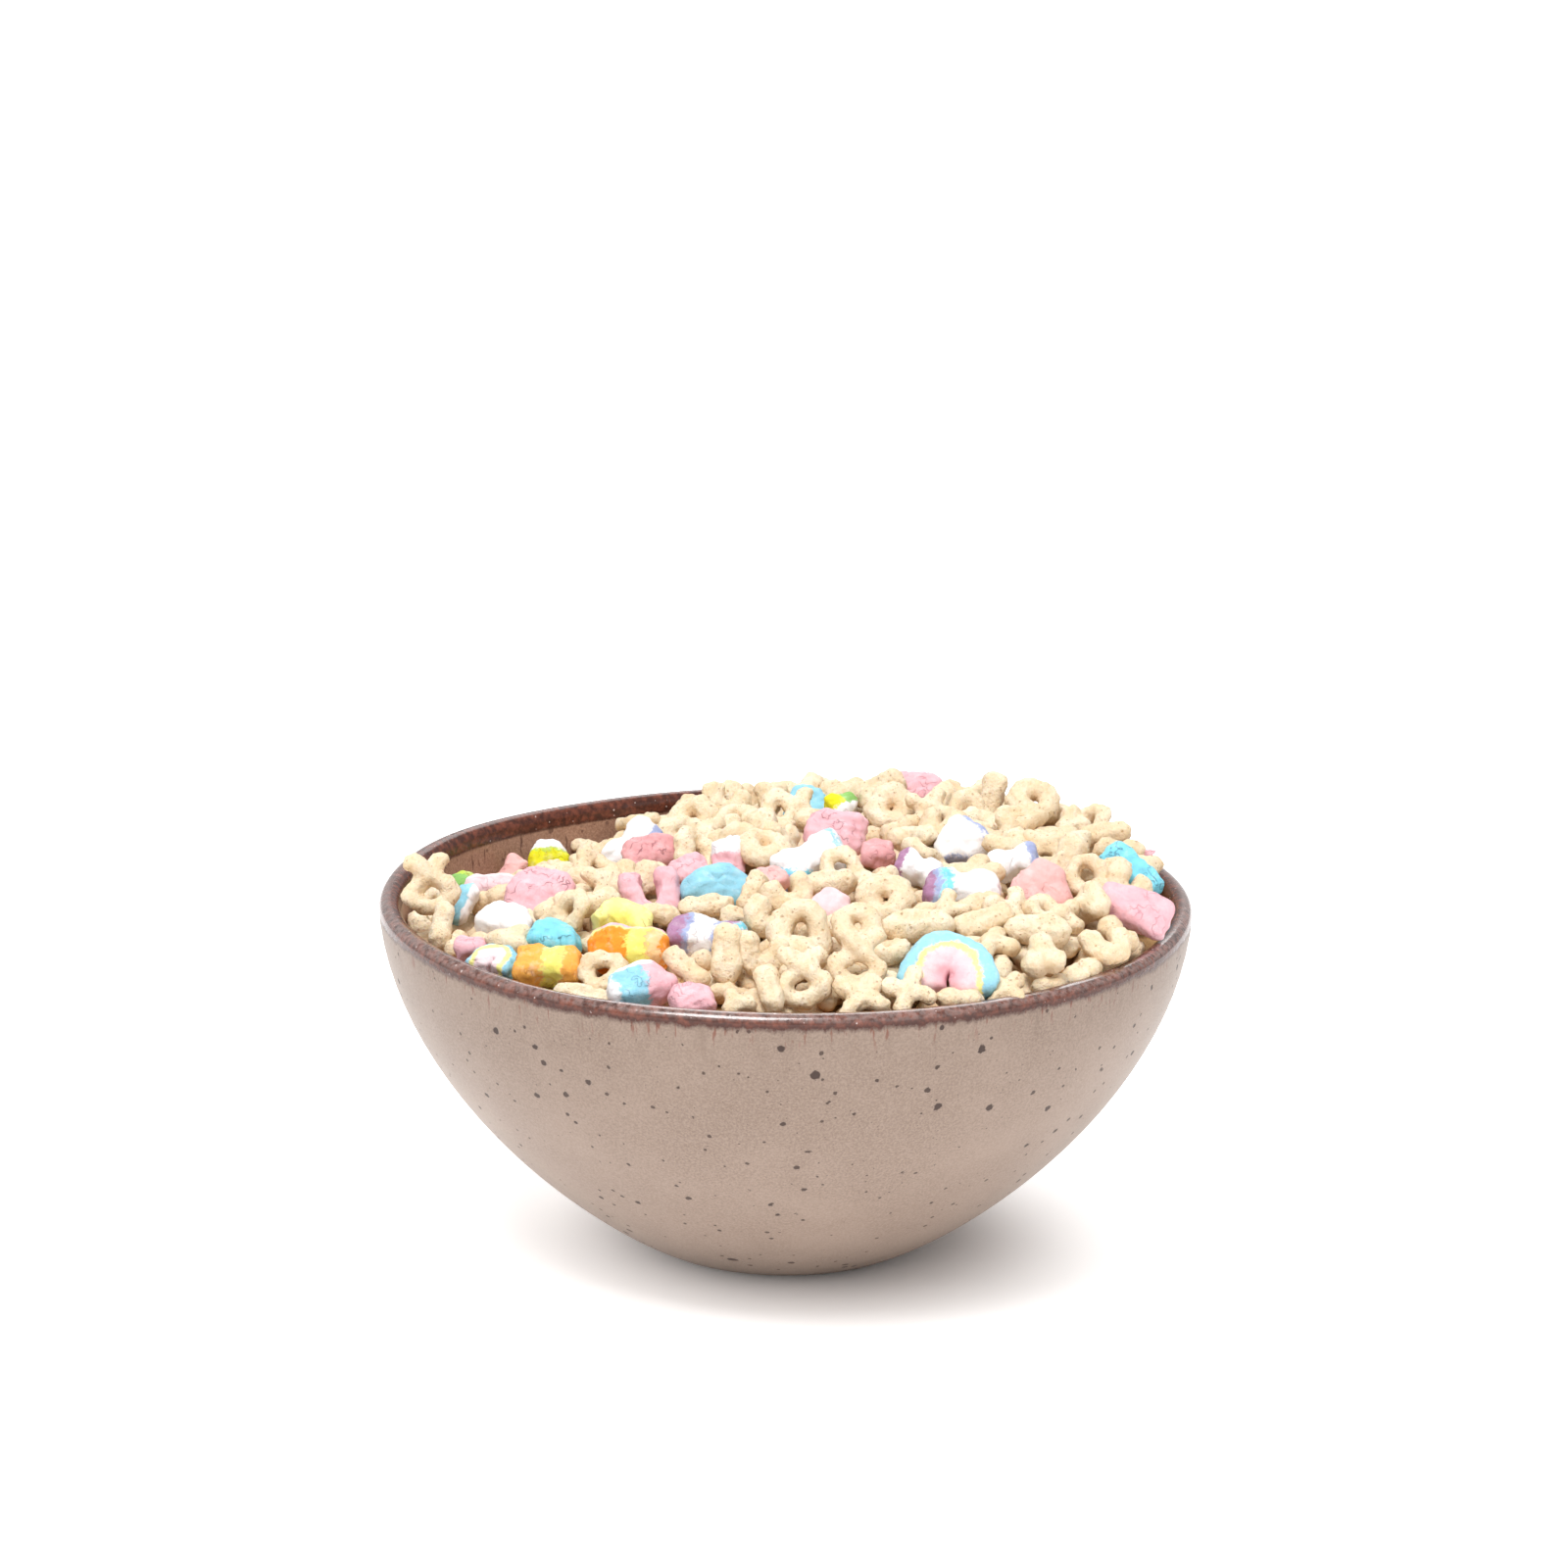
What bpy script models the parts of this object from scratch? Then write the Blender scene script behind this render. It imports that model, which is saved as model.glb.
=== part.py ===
"""A bowl of toasted oat cereal with marshmallow pieces.

The stoneware bowl is turned from one profile. The oat pieces that fill it are one solid out to their
lumpy outline, and every marshmallow that shows on the heap is a puffed solid of its own, half sunk in
a pocket of the heap. Metres, +Z up, origin at the centre of the bowl's foot.
"""

import math
from dataclasses import dataclass

import bmesh
import bpy
import numpy as np
from mathutils import Matrix, Vector

MM = 0.001
GAP = 0.3 * MM

# The bowl.
RIM_RADIUS = 73.0 * MM
BOWL_HEIGHT = 64.6 * MM
FOOT_RADIUS = 23.6 * MM
RIM_WALL = 3.8 * MM
FLOOR_THICKNESS = 5.5 * MM
RECESS_RADIUS = 17.5 * MM
RECESS_DEPTH = 1.0 * MM
BOWL_SEGMENTS = 48
WALL_RINGS = 10
LIP_RINGS = 5
FLOOR_CROWDING = 1.4
OUTER_CURVE = (1.85, 0.85)
INNER_CURVE = (2.0, 0.62)

# The heap of oat pieces, with heights measured from the rim's plane.
HEAP_RADIUS = 67.2 * MM
HEAP_GRID = 3.8 * MM
HEAP_LEVEL = -2.8 * MM
HEAP_CROWN = 4.0 * MM
HEAP_SLOPE = 0.05
HEAP_EDGE_DROP = 2.6 * MM
OAT_PIECE = 10.0 * MM
OAT_BULGE = 3.2 * MM
HOLLOW_CENTRE = (-48.0 * MM, 42.0 * MM)
HOLLOW_REACH = (30.0 * MM, 34.0 * MM)
HOLLOW_DEPTH = 8.5 * MM
LEANING_PIECE = (-60.0 * MM, -12.0 * MM)
LEANING_RISE = 4.5 * MM
LEANING_REACH = 0.6 * OAT_PIECE
EDGE_DROP_POWER = 6
BULGE_PITCH = 1.2 * OAT_PIECE
BULGE_REACH = 0.58 * BULGE_PITCH
BULGE_JITTER = 0.22
BULGE_HEIGHTS = (0.6, 1.0)
HEAP_SEED = 7
MERGE_DISTANCE = 0.01 * MM
WELD_DISTANCE = 0.05 * MM

# The bed pressed into the heap under a marshmallow, in shares of the marshmallow's reach.
BED_REACH = 0.62
BED_FLAT = 0.85
BED_END = 1.6
BED_RISE = 1.5
BED_SINK = 0.1

# The marshmallow meshes.
OUTLINE_POINTS = 11
BAND_STATIONS = 8
ROUND_POCKET_SIDES = 8
SQUARE_POCKET_SIDES = 4
BAND_SIDES = 8
SLAB_RINGS = ((-1.0, 0.72), (-0.55, 1.0), (0.55, 1.0), (1.0, 0.72))
END_INSET = 0.62
END_REACH = 0.5
BENT_FORMS = ("arch", "horseshoe", "crescent")
ROUND_FORMS = ("round", "clover")
OUTLINE_POWERS = {"round": 2.0, "block": 4.0, "bar": 5.0, "lump": 2.6, "waisted": 4.0}
BAND_SECTION_POWER = 3.0
BEND_SPANS = {"arch": 190.0, "horseshoe": 205.0, "crescent": 130.0}
BEND_BREADTHS = {"arch": 0.20, "horseshoe": 0.19, "crescent": 0.20}
CRESCENT_TAPER = 0.55
LUMP_WAVE = 0.06
CLOVER_WAVE = 0.16
WAIST_DEPTH = 0.26
WAIST_REACH = 0.35
MOON_BACK = 0.35
MOON_SHIFT = 0.32
GUMDROP_FOOT = 0.82
GUMDROP_TAPER = 0.26
GUMDROP_FULL = 0.9

# Roughness of the finishes.
GLAZE_ROUGHNESS = 0.45
OAT_ROUGHNESS = 0.8
MARSHMALLOW_ROUGHNESS = 0.85


@dataclass(frozen=True)
class Marshmallow:
    """One puffed piece: its form, size and place, in millimetres and degrees.

    lift is its centre's height above the heap's mean surface. spin turns it about its own short axis,
    tilt tips its flat face towards -Y, and yaw then turns it about the vertical.
    """

    name: str
    form: str
    size: tuple
    place: tuple
    lift: float
    spin: float
    tilt: float
    yaw: float
    colour: tuple


PINK = (0.80, 0.36, 0.46)
PALE_PINK = (0.93, 0.60, 0.66)
SALMON = (0.91, 0.38, 0.42)
WHITE = (0.93, 0.93, 0.94)
SKY = (0.14, 0.56, 0.79)
PALE_BLUE = (0.36, 0.70, 0.82)
ORANGE = (0.92, 0.40, 0.04)
YELLOW = (0.95, 0.84, 0.12)
GREEN = (0.36, 0.62, 0.20)
GLAZE = (0.42, 0.31, 0.25)
TOAST = (0.78, 0.60, 0.34)

MARSHMALLOWS = (
    Marshmallow("marsh_green_left", "round", (6, 5.5, 4), (-59, 22), 2.4, 0, 30, -20, GREEN),
    Marshmallow("marsh_blue_left", "block", (8, 4.5, 4), (-58, -3), 0.5, 70, 50, 0, PALE_BLUE),
    Marshmallow("marsh_pink_bar_left", "bar", (9, 5, 4.5), (-53.5, 9), 1.4, 0, 25, 10, PALE_PINK),
    Marshmallow("marsh_pink_disc", "round", (12.8, 12.4, 5), (-44, -6), 0.6, 0, 35, -5, PINK),
    Marshmallow("marsh_white_left", "lump", (11, 7.5, 6), (-49.5, -20), 0.3, -20, 20, 0, WHITE),
    Marshmallow("marsh_cyan_left", "lump", (9.5, 7.5, 6), (-40, -33), 0.5, -15, 30, 0, SKY),
    Marshmallow("marsh_hat", "round", (8, 7.5, 6), (-44.7, 43), 3.2, 0, 50, 0, YELLOW),
    Marshmallow("marsh_red_strip", "bar", (6.5, 4, 4), (-51.5, 38), 3.4, 60, 40, 0, SALMON),
    Marshmallow("marsh_pink_small", "block", (5.5, 4.5, 4), (-54.5, -31), 1.0, 10, 20, 0, PINK),
    Marshmallow("marsh_rainbow_left", "arch", (9.5, 7, 4.5), (-49.5, -40.5), 1.6, 0, 20, -35, PALE_PINK),
    Marshmallow("marsh_orange_left", "waisted", (12.2, 8, 6.5), (-40.3, -46), 1.2, -5, 30, 0, ORANGE),
    Marshmallow("marsh_orange_mid", "block", (13.5, 8.5, 7), (-26.8, -43), 0.9, 0, 30, 0, ORANGE),
    Marshmallow("marsh_yellow_curl", "crescent", (14, 7.5, 5), (-27.5, -29), 1.8, -25, 35, 0, YELLOW),
    Marshmallow("marsh_pink_vee", "horseshoe", (11, 11.5, 5), (-23.6, -13.5), -0.2, 190, 40, 0, PINK),
    Marshmallow("marsh_white_back_left", "waisted", (12.5, 7.5, 6), (-28.5, 28), 2.9, 50, 42, 0, WHITE),
    Marshmallow("marsh_pink_lump", "lump", (11, 8, 6), (-25, 14.5), 2.1, 15, 35, 0, PINK),
    Marshmallow("marsh_pink_square", "block", (7, 6, 5), (-17.5, 1.5), 0.4, 20, 35, 0, PINK),
    Marshmallow("marsh_pink_white", "block", (6, 8.5, 5.5), (-10.5, 5.5), 0.8, 5, 55, 0, PALE_PINK),
    Marshmallow("marsh_half_moon", "half_moon", (12, 9, 5), (-12.6, -12), 0.6, 0, 48, 0, SKY),
    Marshmallow("marsh_white_banded", "bar", (13.6, 7.5, 6.5), (-13.4, -38), 0.2, -12, 25, 0, WHITE),
    Marshmallow("marsh_blue_front", "gumdrop", (12.5, 9, 6), (-24.5, -57), 1.2, 20, 20, 0, PALE_BLUE),
    Marshmallow("marsh_pink_front", "block", (7.5, 6.5, 5), (-15.5, -62.5), 0.4, 10, 20, 0, PALE_PINK),
    Marshmallow("marsh_blue_far", "half_moon", (8.5, 8, 4.5), (3.8, 48), 0.8, 0, 40, 0, SKY),
    Marshmallow("marsh_clover", "clover", (7, 7, 4), (10.2, 39), 1.8, 30, 40, 0, GREEN),
    Marshmallow("marsh_pink_far", "lump", (12, 8.5, 6.5), (25, 52), 1.6, -10, 45, 0, PINK),
    Marshmallow("marsh_pink_behind", "block", (5, 4.5, 4), (33, 46), 1.0, 0, 40, 0, PALE_PINK),
    Marshmallow("marsh_pink_block", "block", (11.2, 8.8, 6), (9, 20.5), 0.8, -8, 42, 0, PINK),
    Marshmallow("marsh_white_blue", "waisted", (14, 9, 6), (4, 1), 0.6, 35, 40, 0, WHITE),
    Marshmallow("marsh_dark_pink", "block", (6.5, 5.5, 4), (16.5, 6.5), 0.4, 0, 20, 0, PINK),
    Marshmallow("marsh_pale_pink", "gumdrop", (8.2, 7.5, 4.5), (8, -25.5), 0.4, 0, 40, 0, PALE_PINK),
    Marshmallow("marsh_white_peak", "gumdrop", (10.5, 9.5, 6), (32, 12), 1.4, 5, 52, 0, WHITE),
    Marshmallow("marsh_white_knob", "waisted", (9.5, 6, 5.5), (23.5, -5), 0.4, -20, 30, 0, WHITE),
    Marshmallow("marsh_white_block", "waisted", (13.5, 8.5, 6.5), (31, -17.5), 0.8, -5, 30, 0, WHITE),
    Marshmallow("marsh_white_right", "waisted", (9, 6.5, 5), (40.5, -2), 1.4, 15, 40, 0, WHITE),
    Marshmallow("marsh_salmon", "gumdrop", (12, 11.5, 6.5), (44.8, -17), 1.0, -5, 48, 0, SALMON),
    Marshmallow("marsh_cyan_right", "bar", (12.5, 6.5, 5), (62, 1), 0.9, -48, 45, 0, SKY),
    Marshmallow("marsh_pink_right", "bar", (13.5, 7.2, 5.5), (60.8, -26), 3.2, -26, 50, 0, PINK),
    Marshmallow("marsh_rainbow", "arch", (17.0, 12.0, 6), (27.5, -54), 1.6, 0, 42, 0, PALE_PINK),
    Marshmallow("marsh_pink_between", "block", (6.5, 5.5, 4), (-3.2, -9), 0.4, 25, 20, 0, SALMON),
)


def clear_scene():
    """Removes whatever the scene holds."""
    for item in list(bpy.data.objects):
        bpy.data.objects.remove(item, do_unlink=True)


def finish_material(name, colour, roughness):
    """A Principled material of one colour."""
    material = bpy.data.materials.new(name)
    material.use_nodes = True
    shader = material.node_tree.nodes["Principled BSDF"]
    shader.inputs["Base Color"].default_value = (*colour, 1.0)
    shader.inputs["Roughness"].default_value = roughness
    shader.inputs["Metallic"].default_value = 0.0
    material.diffuse_color = (*colour, 1.0)
    return material


def mesh_object(name, bm, material, smooth_angle=40.0):
    """Turns a bmesh into a linked, smooth-shaded object."""
    bmesh.ops.recalc_face_normals(bm, faces=bm.faces)
    mesh = bpy.data.meshes.new(name)
    bm.to_mesh(mesh)
    bm.free()
    mesh.materials.append(material)
    mesh.shade_smooth()
    mesh.set_sharp_from_angle(angle=math.radians(smooth_angle))
    item = bpy.data.objects.new(name, mesh)
    bpy.context.scene.collection.objects.link(item)
    return item


def turned_bmesh(profile, segments):
    """Spins a profile of (radius, height) points, both of whose ends lie on the axis."""
    bm = bmesh.new()
    points = [bm.verts.new((radius, 0.0, height)) for radius, height in profile]
    edges = [bm.edges.new(pair) for pair in zip(points, points[1:])]
    bmesh.ops.spin(
        bm,
        geom=points + edges,
        cent=(0.0, 0.0, 0.0),
        axis=(0.0, 0.0, 1.0),
        angle=2.0 * math.pi,
        steps=segments,
        use_duplicate=False,
    )
    bmesh.ops.remove_doubles(bm, verts=bm.verts, dist=MERGE_DISTANCE)
    return bm


def curve_radius(share, foot, rim, curve):
    """A wall's radius at a share of its height: foot + (rim - foot) (1 - (1 - share)^p)^q."""
    power, root = curve
    return foot + (rim - foot) * (1.0 - (1.0 - share) ** power) ** root


def outer_wall():
    """Points up the outside, from the foot's edge to where the lip's arc begins."""
    top = 1.0 - 0.5 * RIM_WALL / BOWL_HEIGHT
    shares = [top * step / WALL_RINGS for step in range(WALL_RINGS + 1)]
    return [(curve_radius(s, FOOT_RADIUS, RIM_RADIUS, OUTER_CURVE), s * BOWL_HEIGHT) for s in shares]


def inner_wall(clearance=0.0, rings=WALL_RINGS):
    """Points down the inside, from under the lip to the floor's centre, set in by a clearance."""
    rise = BOWL_HEIGHT - FLOOR_THICKNESS
    top = 1.0 - 0.5 * RIM_WALL / rise
    shares = [top * (1.0 - step / rings) ** FLOOR_CROWDING for step in range(rings + 1)]
    mouth = RIM_RADIUS - RIM_WALL
    points = []
    for s in shares:
        radius = curve_radius(s, 0.0, mouth, INNER_CURVE)
        points.append((max(radius - clearance, 0.0), FLOOR_THICKNESS + s * rise + clearance))
    return points


def lip():
    """The half-round lip, from the outer wall over to the inner one, without its two ends."""
    half = 0.5 * RIM_WALL
    centre = (RIM_RADIUS - half, BOWL_HEIGHT - half)
    angles = [math.pi * (step + 1) / (LIP_RINGS + 1) for step in range(LIP_RINGS)]
    return [(centre[0] + half * math.cos(a), centre[1] + half * math.sin(a)) for a in angles]


def make_bowl():
    """The bowl: a shallow recess in its foot, the curved wall, the round lip and the inside."""
    recess = [(0.0, RECESS_DEPTH), (RECESS_RADIUS, RECESS_DEPTH), (RECESS_RADIUS + RECESS_DEPTH, 0.0)]
    profile = recess + outer_wall() + lip() + inner_wall()
    glaze = finish_material("speckled_glaze", GLAZE, GLAZE_ROUGHNESS)
    return mesh_object("bowl", turned_bmesh(profile, BOWL_SEGMENTS), glaze, smooth_angle=50.0)


def mean_heap(x, y):
    """The heap's mean height over the rim's plane at arrays of x and y.

    A crowned level that climbs towards +X, less a hollow at the back left and a drop at the wall,
    with a rise under the piece that leans on the left rim.
    """
    reach = np.clip((x**2 + y**2) / HEAP_RADIUS**2, 0.0, 1.3)
    level = HEAP_LEVEL + HEAP_CROWN * (1.0 - reach) + HEAP_SLOPE * (x + HEAP_RADIUS)
    hollow_x = (x - HOLLOW_CENTRE[0]) / HOLLOW_REACH[0]
    hollow_y = (y - HOLLOW_CENTRE[1]) / HOLLOW_REACH[1]
    hollow = HOLLOW_DEPTH * np.exp(-(hollow_x**2) - hollow_y**2)
    lean = np.hypot(x - LEANING_PIECE[0], y - LEANING_PIECE[1]) / LEANING_REACH
    return level - hollow - HEAP_EDGE_DROP * reach**EDGE_DROP_POWER + LEANING_RISE * np.exp(-(lean**2))


def oat_bulges(x, y):
    """Domes on a jittered triangular lattice, a little wider than an oat piece, at arrays of x and y."""
    jitter = np.random.default_rng(HEAP_SEED)
    rows = int(2.4 * HEAP_RADIUS / BULGE_PITCH)
    bulge = np.zeros_like(x)
    for row in range(-rows // 2, rows // 2 + 1):
        for column in range(-rows // 2, rows // 2 + 1):
            shift = jitter.uniform(-BULGE_JITTER, BULGE_JITTER, 2)
            centre_x = (column + 0.5 * (row % 2) + shift[0]) * BULGE_PITCH
            centre_y = (row * math.sqrt(0.75) + shift[1]) * BULGE_PITCH
            apart = np.hypot(x - centre_x, y - centre_y) / BULGE_REACH
            height = OAT_BULGE * jitter.uniform(*BULGE_HEIGHTS)
            bulge = np.maximum(bulge, height * (1.0 - np.clip(apart, 0.0, 1.0) ** 2))
    return bulge


def centre_of(piece):
    """A marshmallow's centre in world coordinates."""
    x, y = (value * MM for value in piece.place)
    height = float(mean_heap(np.array(x), np.array(y)))
    return Vector((x, y, BOWL_HEIGHT + height + piece.lift * MM))


def heap_top(x, y):
    """The heap's height in world coordinates: bulges, pressed down where a marshmallow lies."""
    height = BOWL_HEIGHT + mean_heap(x, y) + oat_bulges(x, y)
    for piece in MARSHMALLOWS:
        centre = centre_of(piece)
        reach = BED_REACH * max(piece.size[0], piece.size[1]) * MM
        apart = np.hypot(x - centre.x, y - centre.y) / reach
        bank = BED_RISE * reach * np.clip(apart - BED_FLAT, 0.0, None)
        bed = centre.z - BED_SINK * piece.size[2] * MM + bank
        height = np.where(apart < BED_END, np.minimum(height, bed), height)
    return height


def superellipse(theta, power):
    """Radius of |u|^n + |v|^n = 1 in each direction theta."""
    return (np.abs(np.cos(theta)) ** power + np.abs(np.sin(theta)) ** power) ** (-1.0 / power)


def slab_outline(form, theta):
    """The outline of a flat-bottomed puffed piece, in half lengths (u) and half widths (v)."""
    radius = superellipse(theta, OUTLINE_POWERS.get(form, 2.0))
    if form == "lump":
        radius = radius * (1.0 + LUMP_WAVE * np.cos(3.0 * theta + 0.6) - LUMP_WAVE)
    if form == "clover":
        radius = radius * (1.0 - CLOVER_WAVE + CLOVER_WAVE * np.cos(3.0 * theta))
    u = radius * np.cos(theta)
    v = radius * np.sin(theta)
    if form == "waisted":
        v = v * (1.0 - WAIST_DEPTH * np.exp(-((u / WAIST_REACH) ** 2)))
    if form == "half_moon":
        v = np.where(v < 0.0, MOON_BACK * v, v) - MOON_SHIFT
        v = v / (1.0 - MOON_SHIFT)
    if form == "gumdrop":
        u = u * (GUMDROP_FOOT - GUMDROP_TAPER * v)
        u = u / GUMDROP_FULL
    return u, v


def skin_rings(rings):
    """A closed bmesh over rings of points: quads between neighbours, and a face over each end."""
    bm = bmesh.new()
    loops = [[bm.verts.new(point) for point in ring] for ring in rings]
    count = len(loops[0])
    for low, high in zip(loops, loops[1:]):
        for index in range(count):
            after = (index + 1) % count
            bm.faces.new((low[index], low[after], high[after], high[index]))
    bm.faces.new(reversed(loops[0]))
    bm.faces.new(loops[-1])
    return bm


def slab_bmesh(piece):
    """A puffed slab: four rings of the outline, rounded in at the top and the bottom."""
    theta = np.arange(OUTLINE_POINTS) * 2.0 * math.pi / OUTLINE_POINTS
    u, v = slab_outline(piece.form, theta)
    length, width, thickness = (0.5 * value * MM for value in piece.size)
    rings = []
    for height, inset in SLAB_RINGS:
        rise = np.full_like(u, height * thickness)
        rings.append(np.stack([u * length * inset, v * width * inset, rise], axis=-1))
    return skin_rings(rings)


def pocket_bmesh(piece):
    """The prism that a piece beds in: straight sides round its outline, clear of it by the gap."""
    sides = ROUND_POCKET_SIDES if piece.form in ROUND_FORMS else SQUARE_POCKET_SIDES
    theta = (np.arange(sides) + 0.5) * 2.0 * math.pi / sides
    radius = 1.0 / math.cos(math.pi / sides)
    length, width, thickness = (0.5 * value * MM + GAP for value in piece.size)
    rings = []
    for height in (-thickness, thickness):
        rise = np.full_like(theta, height)
        edge_x = radius * np.cos(theta) * length
        edge_y = radius * np.sin(theta) * width
        rings.append(np.stack([edge_x, edge_y, rise], axis=-1))
    return skin_rings(rings)


def band_path(form, length, width):
    """The middle line of a bent piece and its half breadth at each station, in metres."""
    span = math.radians(BEND_SPANS[form])
    taper = CRESCENT_TAPER if form == "crescent" else 0.0
    share = np.linspace(-1.0, 1.0, BAND_STATIONS)
    angle = 0.5 * math.pi - 0.5 * span * share
    thick = BEND_BREADTHS[form] * length
    half = thick * (1.0 - taper * share**2)
    radius = 0.5 * length - thick
    low = math.cos(0.5 * span) * radius
    end = END_REACH * half[0]
    squeeze = (width - thick - end) / (radius - low)
    x = radius * np.cos(angle) / math.sin(min(0.5 * span, 0.5 * math.pi))
    y = (radius * np.sin(angle) - 0.5 * (radius + low)) * squeeze - 0.5 * (thick - end)
    return x, y, half


def band_bmesh(piece):
    """A bent piece: a rounded box section carried along an arc, drawn in over each end."""
    length, width, thickness = (value * MM for value in piece.size)
    x, y, half = band_path(piece.form, length, width)
    along = np.stack([np.gradient(x), np.gradient(y)], axis=-1)
    along /= np.linalg.norm(along, axis=-1, keepdims=True)
    across = np.stack([-along[:, 1], along[:, 0]], axis=-1)
    theta = (np.arange(BAND_SIDES) + 0.5) * 2.0 * math.pi / BAND_SIDES
    section = superellipse(theta, BAND_SECTION_POWER)
    stations = [(0, END_INSET, -END_REACH)]
    stations += [(station, 1.0, 0.0) for station in range(BAND_STATIONS)]
    stations += [(BAND_STATIONS - 1, END_INSET, END_REACH)]
    rings = []
    for at, inset, reach in stations:
        side = section * np.cos(theta) * half[at] * inset
        rise = section * np.sin(theta) * 0.5 * thickness * inset
        middle = np.array([x[at], y[at]]) + along[at] * reach * half[at]
        flat = middle + across[at] * side[:, None]
        rings.append(np.column_stack([flat, rise]))
    return skin_rings(rings)


def turn_of(piece):
    """The rotation: spin about its own short axis, tilt about X, then yaw about Z."""
    spin = Matrix.Rotation(math.radians(piece.spin), 3, "Z")
    tilt = Matrix.Rotation(math.radians(piece.tilt), 3, "X")
    yaw = Matrix.Rotation(math.radians(piece.yaw), 3, "Z")
    return yaw @ tilt @ spin


def placed(name, piece, bm):
    """An object of a marshmallow's form or pocket, turned and set in its place on the heap."""
    bmesh.ops.triangulate(bm, faces=bm.faces)
    item = mesh_object(name, bm, finish_material(name, piece.colour, MARSHMALLOW_ROUGHNESS))
    item.location = centre_of(piece)
    item.rotation_euler = turn_of(piece).to_euler()
    return item


def make_marshmallow(piece):
    """One marshmallow, bent or flat as its form says."""
    shape = band_bmesh if piece.form in BENT_FORMS else slab_bmesh
    return placed(piece.name, piece, shape(piece))


def make_heap():
    """The oat heap: a block under the lumpy surface, cut to the bowl's inside less the gap."""
    cells = int(2.0 * HEAP_RADIUS / HEAP_GRID)
    bm = bmesh.new()
    bmesh.ops.create_grid(bm, x_segments=cells, y_segments=cells, size=HEAP_RADIUS + HEAP_GRID)
    flat = np.array([vertex.co[:] for vertex in bm.verts])
    heights = heap_top(flat[:, 0], flat[:, 1])
    for vertex, height in zip(bm.verts, heights):
        vertex.co.z = height
    rim = [edge for edge in bm.edges if edge.is_boundary]
    skirt = bmesh.ops.extrude_edge_only(bm, edges=rim)["geom"]
    for vertex in (item for item in skirt if isinstance(item, bmesh.types.BMVert)):
        vertex.co.z = 0.0
    bmesh.ops.holes_fill(bm, edges=[edge for edge in bm.edges if edge.is_boundary])
    toast = finish_material("toasted_oat", TOAST, OAT_ROUGHNESS)
    return mesh_object("cereal_heap", bm, toast, smooth_angle=60.0)


def make_filling_cutter():
    """The space that the cereal may fill: the bowl's inside less the gap, and a drum above it."""
    wall = inner_wall(GAP, WALL_RINGS // 2)
    mouth = wall[0][0]
    drum = [(0.0, BOWL_HEIGHT + 2.0 * OAT_PIECE), (mouth, BOWL_HEIGHT + 2.0 * OAT_PIECE)]
    bm = turned_bmesh(drum + wall, BOWL_SEGMENTS // 2)
    return mesh_object("filling_cutter", bm, finish_material("cutter", TOAST, OAT_ROUGHNESS))


def cut(target, cutter, operation):
    """Adds a Boolean between closed meshes and hides its cutter."""
    modifier = target.modifiers.new(cutter.name, "BOOLEAN")
    modifier.operation = operation
    modifier.solver = "MANIFOLD"
    modifier.object = cutter
    cutter.hide_render = True
    cutter.display_type = "WIRE"


def main():
    """Builds the bowl, the heap and the marshmallows in their pockets."""
    clear_scene()
    make_bowl()
    heap = make_heap()
    cut(heap, make_filling_cutter(), "INTERSECT")
    for piece in MARSHMALLOWS:
        make_marshmallow(piece)
        cut(heap, placed(piece.name + "_pocket", piece, pocket_bmesh(piece)), "DIFFERENCE")
    weld = heap.modifiers.new("weld", "WELD")
    weld.merge_threshold = WELD_DISTANCE


main()
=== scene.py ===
"""The looks of a bowl of toasted oat cereal with marshmallow pieces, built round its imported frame.

The foot of the bowl stands at the origin, +Z is up and the viewer is on the -Y side. Meshes are in
metres. The tables below give sizes in millimetres and turns in degrees.
"""

import logging
import math
from collections.abc import Sequence
from dataclasses import dataclass, field
from enum import Enum

import bpy
import numpy as np
from mathutils import Matrix, Vector

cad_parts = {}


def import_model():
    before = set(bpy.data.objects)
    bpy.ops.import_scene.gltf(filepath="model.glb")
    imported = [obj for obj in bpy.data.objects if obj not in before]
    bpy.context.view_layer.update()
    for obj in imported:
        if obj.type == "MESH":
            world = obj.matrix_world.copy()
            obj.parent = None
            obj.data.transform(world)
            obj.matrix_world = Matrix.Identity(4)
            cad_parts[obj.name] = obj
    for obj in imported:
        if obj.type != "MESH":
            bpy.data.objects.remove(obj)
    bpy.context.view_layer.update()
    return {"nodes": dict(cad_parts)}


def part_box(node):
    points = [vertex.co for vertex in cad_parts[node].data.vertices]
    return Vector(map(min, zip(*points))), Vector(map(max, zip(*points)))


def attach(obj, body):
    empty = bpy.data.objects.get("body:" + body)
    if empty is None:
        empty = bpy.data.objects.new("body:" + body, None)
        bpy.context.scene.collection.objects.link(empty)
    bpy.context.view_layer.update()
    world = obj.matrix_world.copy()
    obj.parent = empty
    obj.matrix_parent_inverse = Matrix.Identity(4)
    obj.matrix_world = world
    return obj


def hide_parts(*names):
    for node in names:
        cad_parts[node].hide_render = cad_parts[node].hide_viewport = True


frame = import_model()

MM = 0.001
LOG = logging.getLogger("cereal")
Triple = tuple[float, float, float]
TURN = 2.0 * math.pi
TINY = 1e-12


def shade(red: int, green: int, blue: int) -> Triple:
    """A display colour, each part from 0 to 255, as the linear colour that a shader takes.

    Args:
        red: Its red part.
        green: Its green part.
        blue: Its blue part.

    Returns:
        The linear colour.
    """
    parts = np.array([red, green, blue]) / 255.0
    bright = ((parts + 0.055) / 1.055) ** 2.4
    return tuple(float(value) for value in np.where(parts <= 0.04045, parts / 12.92, bright))


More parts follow.
